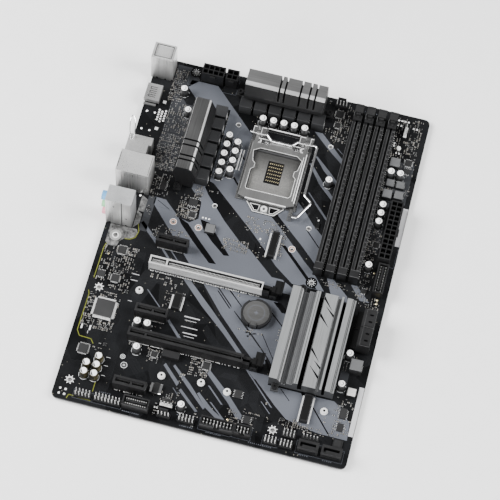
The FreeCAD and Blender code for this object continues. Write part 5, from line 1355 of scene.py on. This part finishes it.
# Thin dark sheets on the drive block: painted shade in its slots and openings.
sockets = Pile("drive_socket_slots", "void")
for y in (116.4, 100.6):
    for offset in (3.0, -2.7):
        sockets.block((214.65, y + offset - 0.65, 13.6), (217.35, y + offset + 0.65, 13.7))
    # A painted shadow over the left part of the block's top.
    sockets.block((205.25, y - 7.5, 8.0), (209.75, y + 7.5, 8.1))
    sockets.block((212.0, y - 6.7, DRIVE_TOP), (219.2, y - 6.4, 15.24))
    sockets.block((219.0, y - 6.4, DRIVE_TOP), (219.2, y + 7.2, 15.24))
    for level in (2.4, 9.4):
        sockets.block((219.82, y - 6.0, level), (219.98, y + 6.0, level + 2.0))
        sockets.block((219.82, y - 6.0, level), (219.98, y - 4.6, level + 3.6))
sockets.block((209.9, 108.3, 15.1), (219.6, 108.7, 15.24))
for x in (186.0, 203.6):
    sockets.block((x + 1.6, 5.14, 3.2), (x + 13.8, 5.26, 5.0))
sockets.done()

# Painted shade: dark lines along the ribs of the hub cover, in its slashes and along its channels.
rib_shade = Pile("hub_shade_lines", "void")
HUB_LOW, HUB_HIGH = 51.3, 129.1
for x, z in ((159.3, 12.4), (160.6, 12.4), (171.3, 12.4), (173.4, 14.0), (178.3, 13.4), (188.3, 13.4),
             (199.7, 14.0), (200.9, 12.6)):
    rib_shade.block((x - 0.16, HUB_LOW, z - 0.02), (x + 0.16, HUB_HIGH, z + 0.03))
for (ax, ay), (bx, by), wide in (((178.4, 72.9), (186.4, 64.6), 2.6), ((188.4, 59.2), (180.6, 67.8), 2.4),
                                 ((178.4, 58.2), (186.8, 50.2), 3.0), ((178.4, 29.6), (186.4, 21.2), 2.6),
                                 ((188.4, 15.4), (181.6, 22.6), 2.2), ((188.4, 7.6), (179.6, 17.8), 2.6)):
    rib_shade.prism([(ax, 51.1 + ay), (ax, 51.1 + ay + wide), (bx, 51.1 + by)], 11.0, 11.06)
for x0, x1 in ((174.9, 177.9), (193.3, 195.3)):
    rib_shade.block((x0, HUB_LOW, 4.6), (x1, HUB_HIGH, 4.7))
rib_shade.done()
steps = Pile("hub_steps", "hub_step")
for x0, x1, z in ((162.3, 166.1, 6.6), (166.5, 170.6, 10.0)):
    for k in range(3):
        low, wide = x0 + (x1 - x0) * k / 3, (x1 - x0) / 3
        steps.block((low + 0.1, HUB_LOW - 0.1, z - 0.02), (low + wide - 0.12, HUB_HIGH + 0.1, z + 0.14), 0.1)
steps.done()

springs = Pile("screw_springs", "chrome")
for b in ISLANDS["heatsink_screws"]:
    cx, cy = centre(b)
    turns = [(cx + 1.9 * math.cos(k * 0.7), cy + 1.9 * math.sin(k * 0.7), 4.55 + 0.05 * k) for k in range(30)]
    springs.wire(turns, 0.16, 5)
springs.done()

cell_ring = Pile("cell_ring", "cell")
cx, cy = CELL_CENTRE
cell_ring.tube((cx, cy), 8.7, 9.3, 4.38, 4.5, 40)
cell_ring.done()
cell_marks = Pile("cell_marks", "ink_grey")
cell_marks.tube((cx, cy), 6.2, 6.5, 4.62, 4.68, 36)
cell_marks.plate(cx, cy, 1.6, 0.35, 4.62, 4.7, 0.03)
cell_marks.plate(cx, cy, 0.35, 1.6, 4.62, 4.71, 0.03)
cell_marks.done()
clip_foot = Pile("clip_foot", "blackened")
for x, y, wide, tall in ((126.6, 87.6, 2.2, 1.0), (129.6, 86.4, 1.6, 1.6), (132.0, 87.8, 2.6, 0.8),
                         (128.4, 84.6, 1.2, 1.2)):
    clip_foot.block((x, y, 0.0), (x + wide, y + tall, 0.55), 0.15, math.radians(18))
clip_foot.done()

# ---------------------------------------------------------------- underside

joints = Pile("solder_joints", "solder")


def joint_rows(x0, y0, x1, y1, nx, ny, radius):
    """Solder cones in nx columns and ny rows under the board."""
    for i in range(nx):
        for j in range(ny):
            x = x0 + (x1 - x0) * i / max(nx - 1, 1)
            y = y0 + (y1 - y0) * j / max(ny - 1, 1)
            joints.lathe((x, y, UNDER), ((radius, 0.02), (radius * 0.8, -0.35), (radius * 0.3, -1.0)),
                         sides=8)


for x in MEMORY_ROWS:
    joint_rows(x - 1.6, 154, x + 1.6, 285, 2, 66, 0.5)
for row, end in card_rows(66, 130):
    joint_rows(45, row - 1.6, end, row + 1.6, int((end - 45) / 2), 2, 0.5)
joint_rows(211.7, 171.7, 215.9, 217.9, 2, 12, 0.9)
joint_rows(41.4, 294.5, 54.0, 298.7, 4, 2, 0.9)
joint_rows(61.0, 294.5, 65.2, 298.7, 2, 2, 0.9)
joint_rows(213.4, 144, 217.6, 165, 2, 10, 0.5)
joint_rows(54.6, 6.6, 71.6, 10.6, 10, 2, 0.5)
joint_rows(208, 95, 216, 122, 3, 14, 0.5)
for x, y, nx, ny in ((16.6, 4.4, 5, 2), (31.6, 4.4, 8, 2), (95.4, 4.6, 5, 2), (160.4, 4.6, 4, 2),
                     (172.2, 4.6, 4, 2), (172.6, 13.0, 4, 2), (187.2, 15.2, 5, 1), (113.6, 5.4, 9, 2),
                     (139.2, 5.8, 4, 2)):
    joint_rows(x + 1.27, y + 1.27, x + 1.27 + 2.54 * (nx - 1), y + 1.27 + 2.54 * (ny - 1), nx, ny, 0.65)
for x0, y0, x1, y1, nx, ny in ((4, 288, 12, 297, 4, 3), (3, 264, 8, 272, 4, 4), (4, 211, 12, 219, 3, 5),
                               (5, 185, 20, 196, 5, 4), (5, 154, 16, 161, 4, 3)):
    joint_rows(x0, y0, x1, y1, nx, ny, 0.7)
for name in ("polymer_capacitors", "audio_capacitors"):
    for b in ISLANDS[name]:
        cx, cy = centre(b)
        joint_rows(cx - 1.2, cy, cx + 1.2, cy, 2, 1, 0.6)
joints.done(smooth=True)

under = {"tan": Pile("under_capacitors", "tan"), "ends": Pile("under_ends", "tin")}
UNDER_ZONES = (
    (104, 210, 126, 238, 2.0, 0.6), (60, 262, 140, 280, 2.8, 0.25), (46, 200, 58, 262, 2.6, 0.3),
    (165, 78, 190, 104, 2.4, 0.45), (20, 100, 40, 130, 3.0, 0.2), (90, 150, 130, 180, 3.2, 0.2),
)
for zone in UNDER_ZONES:
    for x, y in spots(*zone):
        under["tan"].plate(x, y, 0.4, 0.4, UNDER - 0.5, UNDER)
        for sx in (x - 0.6, x + 0.6):
            under["ends"].plate(sx, y, 0.2, 0.42, UNDER - 0.53, UNDER)
for pile in under.values():
    pile.done()

# ---------------------------------------------------------------- stage, light and camera

floor_mesh = bpy.data.meshes.new("floor")
floor_mesh.from_pydata([(-4, -4, 0), (4, -4, 0), (4, 4, 0), (-4, 4, 0)], [], [(0, 1, 2, 3)])
floor_mesh.materials.append(surface("floor_paper", (0.93, 0.93, 0.93), 0.9, spread=0.01, bump=0.02, grain=90))
floor = bpy.data.objects.new("floor", floor_mesh)
bpy.context.scene.collection.objects.link(floor)
floor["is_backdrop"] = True

world = bpy.data.worlds.new("studio")
world.use_nodes = True
background = world.node_tree.nodes["Background"].inputs
background["Color"].default_value = (1.0, 1.0, 1.0, 1.0)
background["Strength"].default_value = 0.24
bpy.context.scene.world = world


def softbox(name, place, size, power):
    """A soft light that faces the origin."""
    light = bpy.data.lights.new(name, "AREA")
    light.shape, light.size, light.size_y, light.energy = "RECTANGLE", size[0], size[1], power
    lamp = bpy.data.objects.new(name, light)
    lamp.location = place
    lamp.rotation_mode = "QUATERNION"
    lamp.rotation_quaternion = (-Vector(place)).to_track_quat("-Z", "Y")
    bpy.context.scene.collection.objects.link(lamp)


softbox("key", (-1.3, -0.1, 1.1), (1.0, 1.0), 72)
softbox("fill", (1.3, 0.1, 1.1), (1.0, 1.0), 46)
softbox("front", (0.1, -1.7, 0.75), (1.8, 0.5), 34)

# The camera stands in front of the board's bottom edge and looks down, a little rolled.
CAMERA_PLACE = at(226.75, -543.37, 1413.58)
CAMERA_AIM = at(113.08, 155.86, 0.0)
CAMERA_ROLL = math.radians(-5.437)
LENS = 148.32
camera_data = bpy.data.cameras.new("camera")
camera_data.lens = LENS
camera_data.sensor_width = 36.0
camera_data.clip_start, camera_data.clip_end = 0.05, 20.0
camera = bpy.data.objects.new("camera", camera_data)
camera.location = CAMERA_PLACE
camera.rotation_mode = "QUATERNION"
aim = (CAMERA_AIM - CAMERA_PLACE).to_track_quat("-Z", "Y")
camera.rotation_quaternion = aim @ Quaternion((0, 0, 1), -CAMERA_ROLL)
bpy.context.scene.collection.objects.link(camera)
bpy.context.scene.camera = camera

low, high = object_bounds()
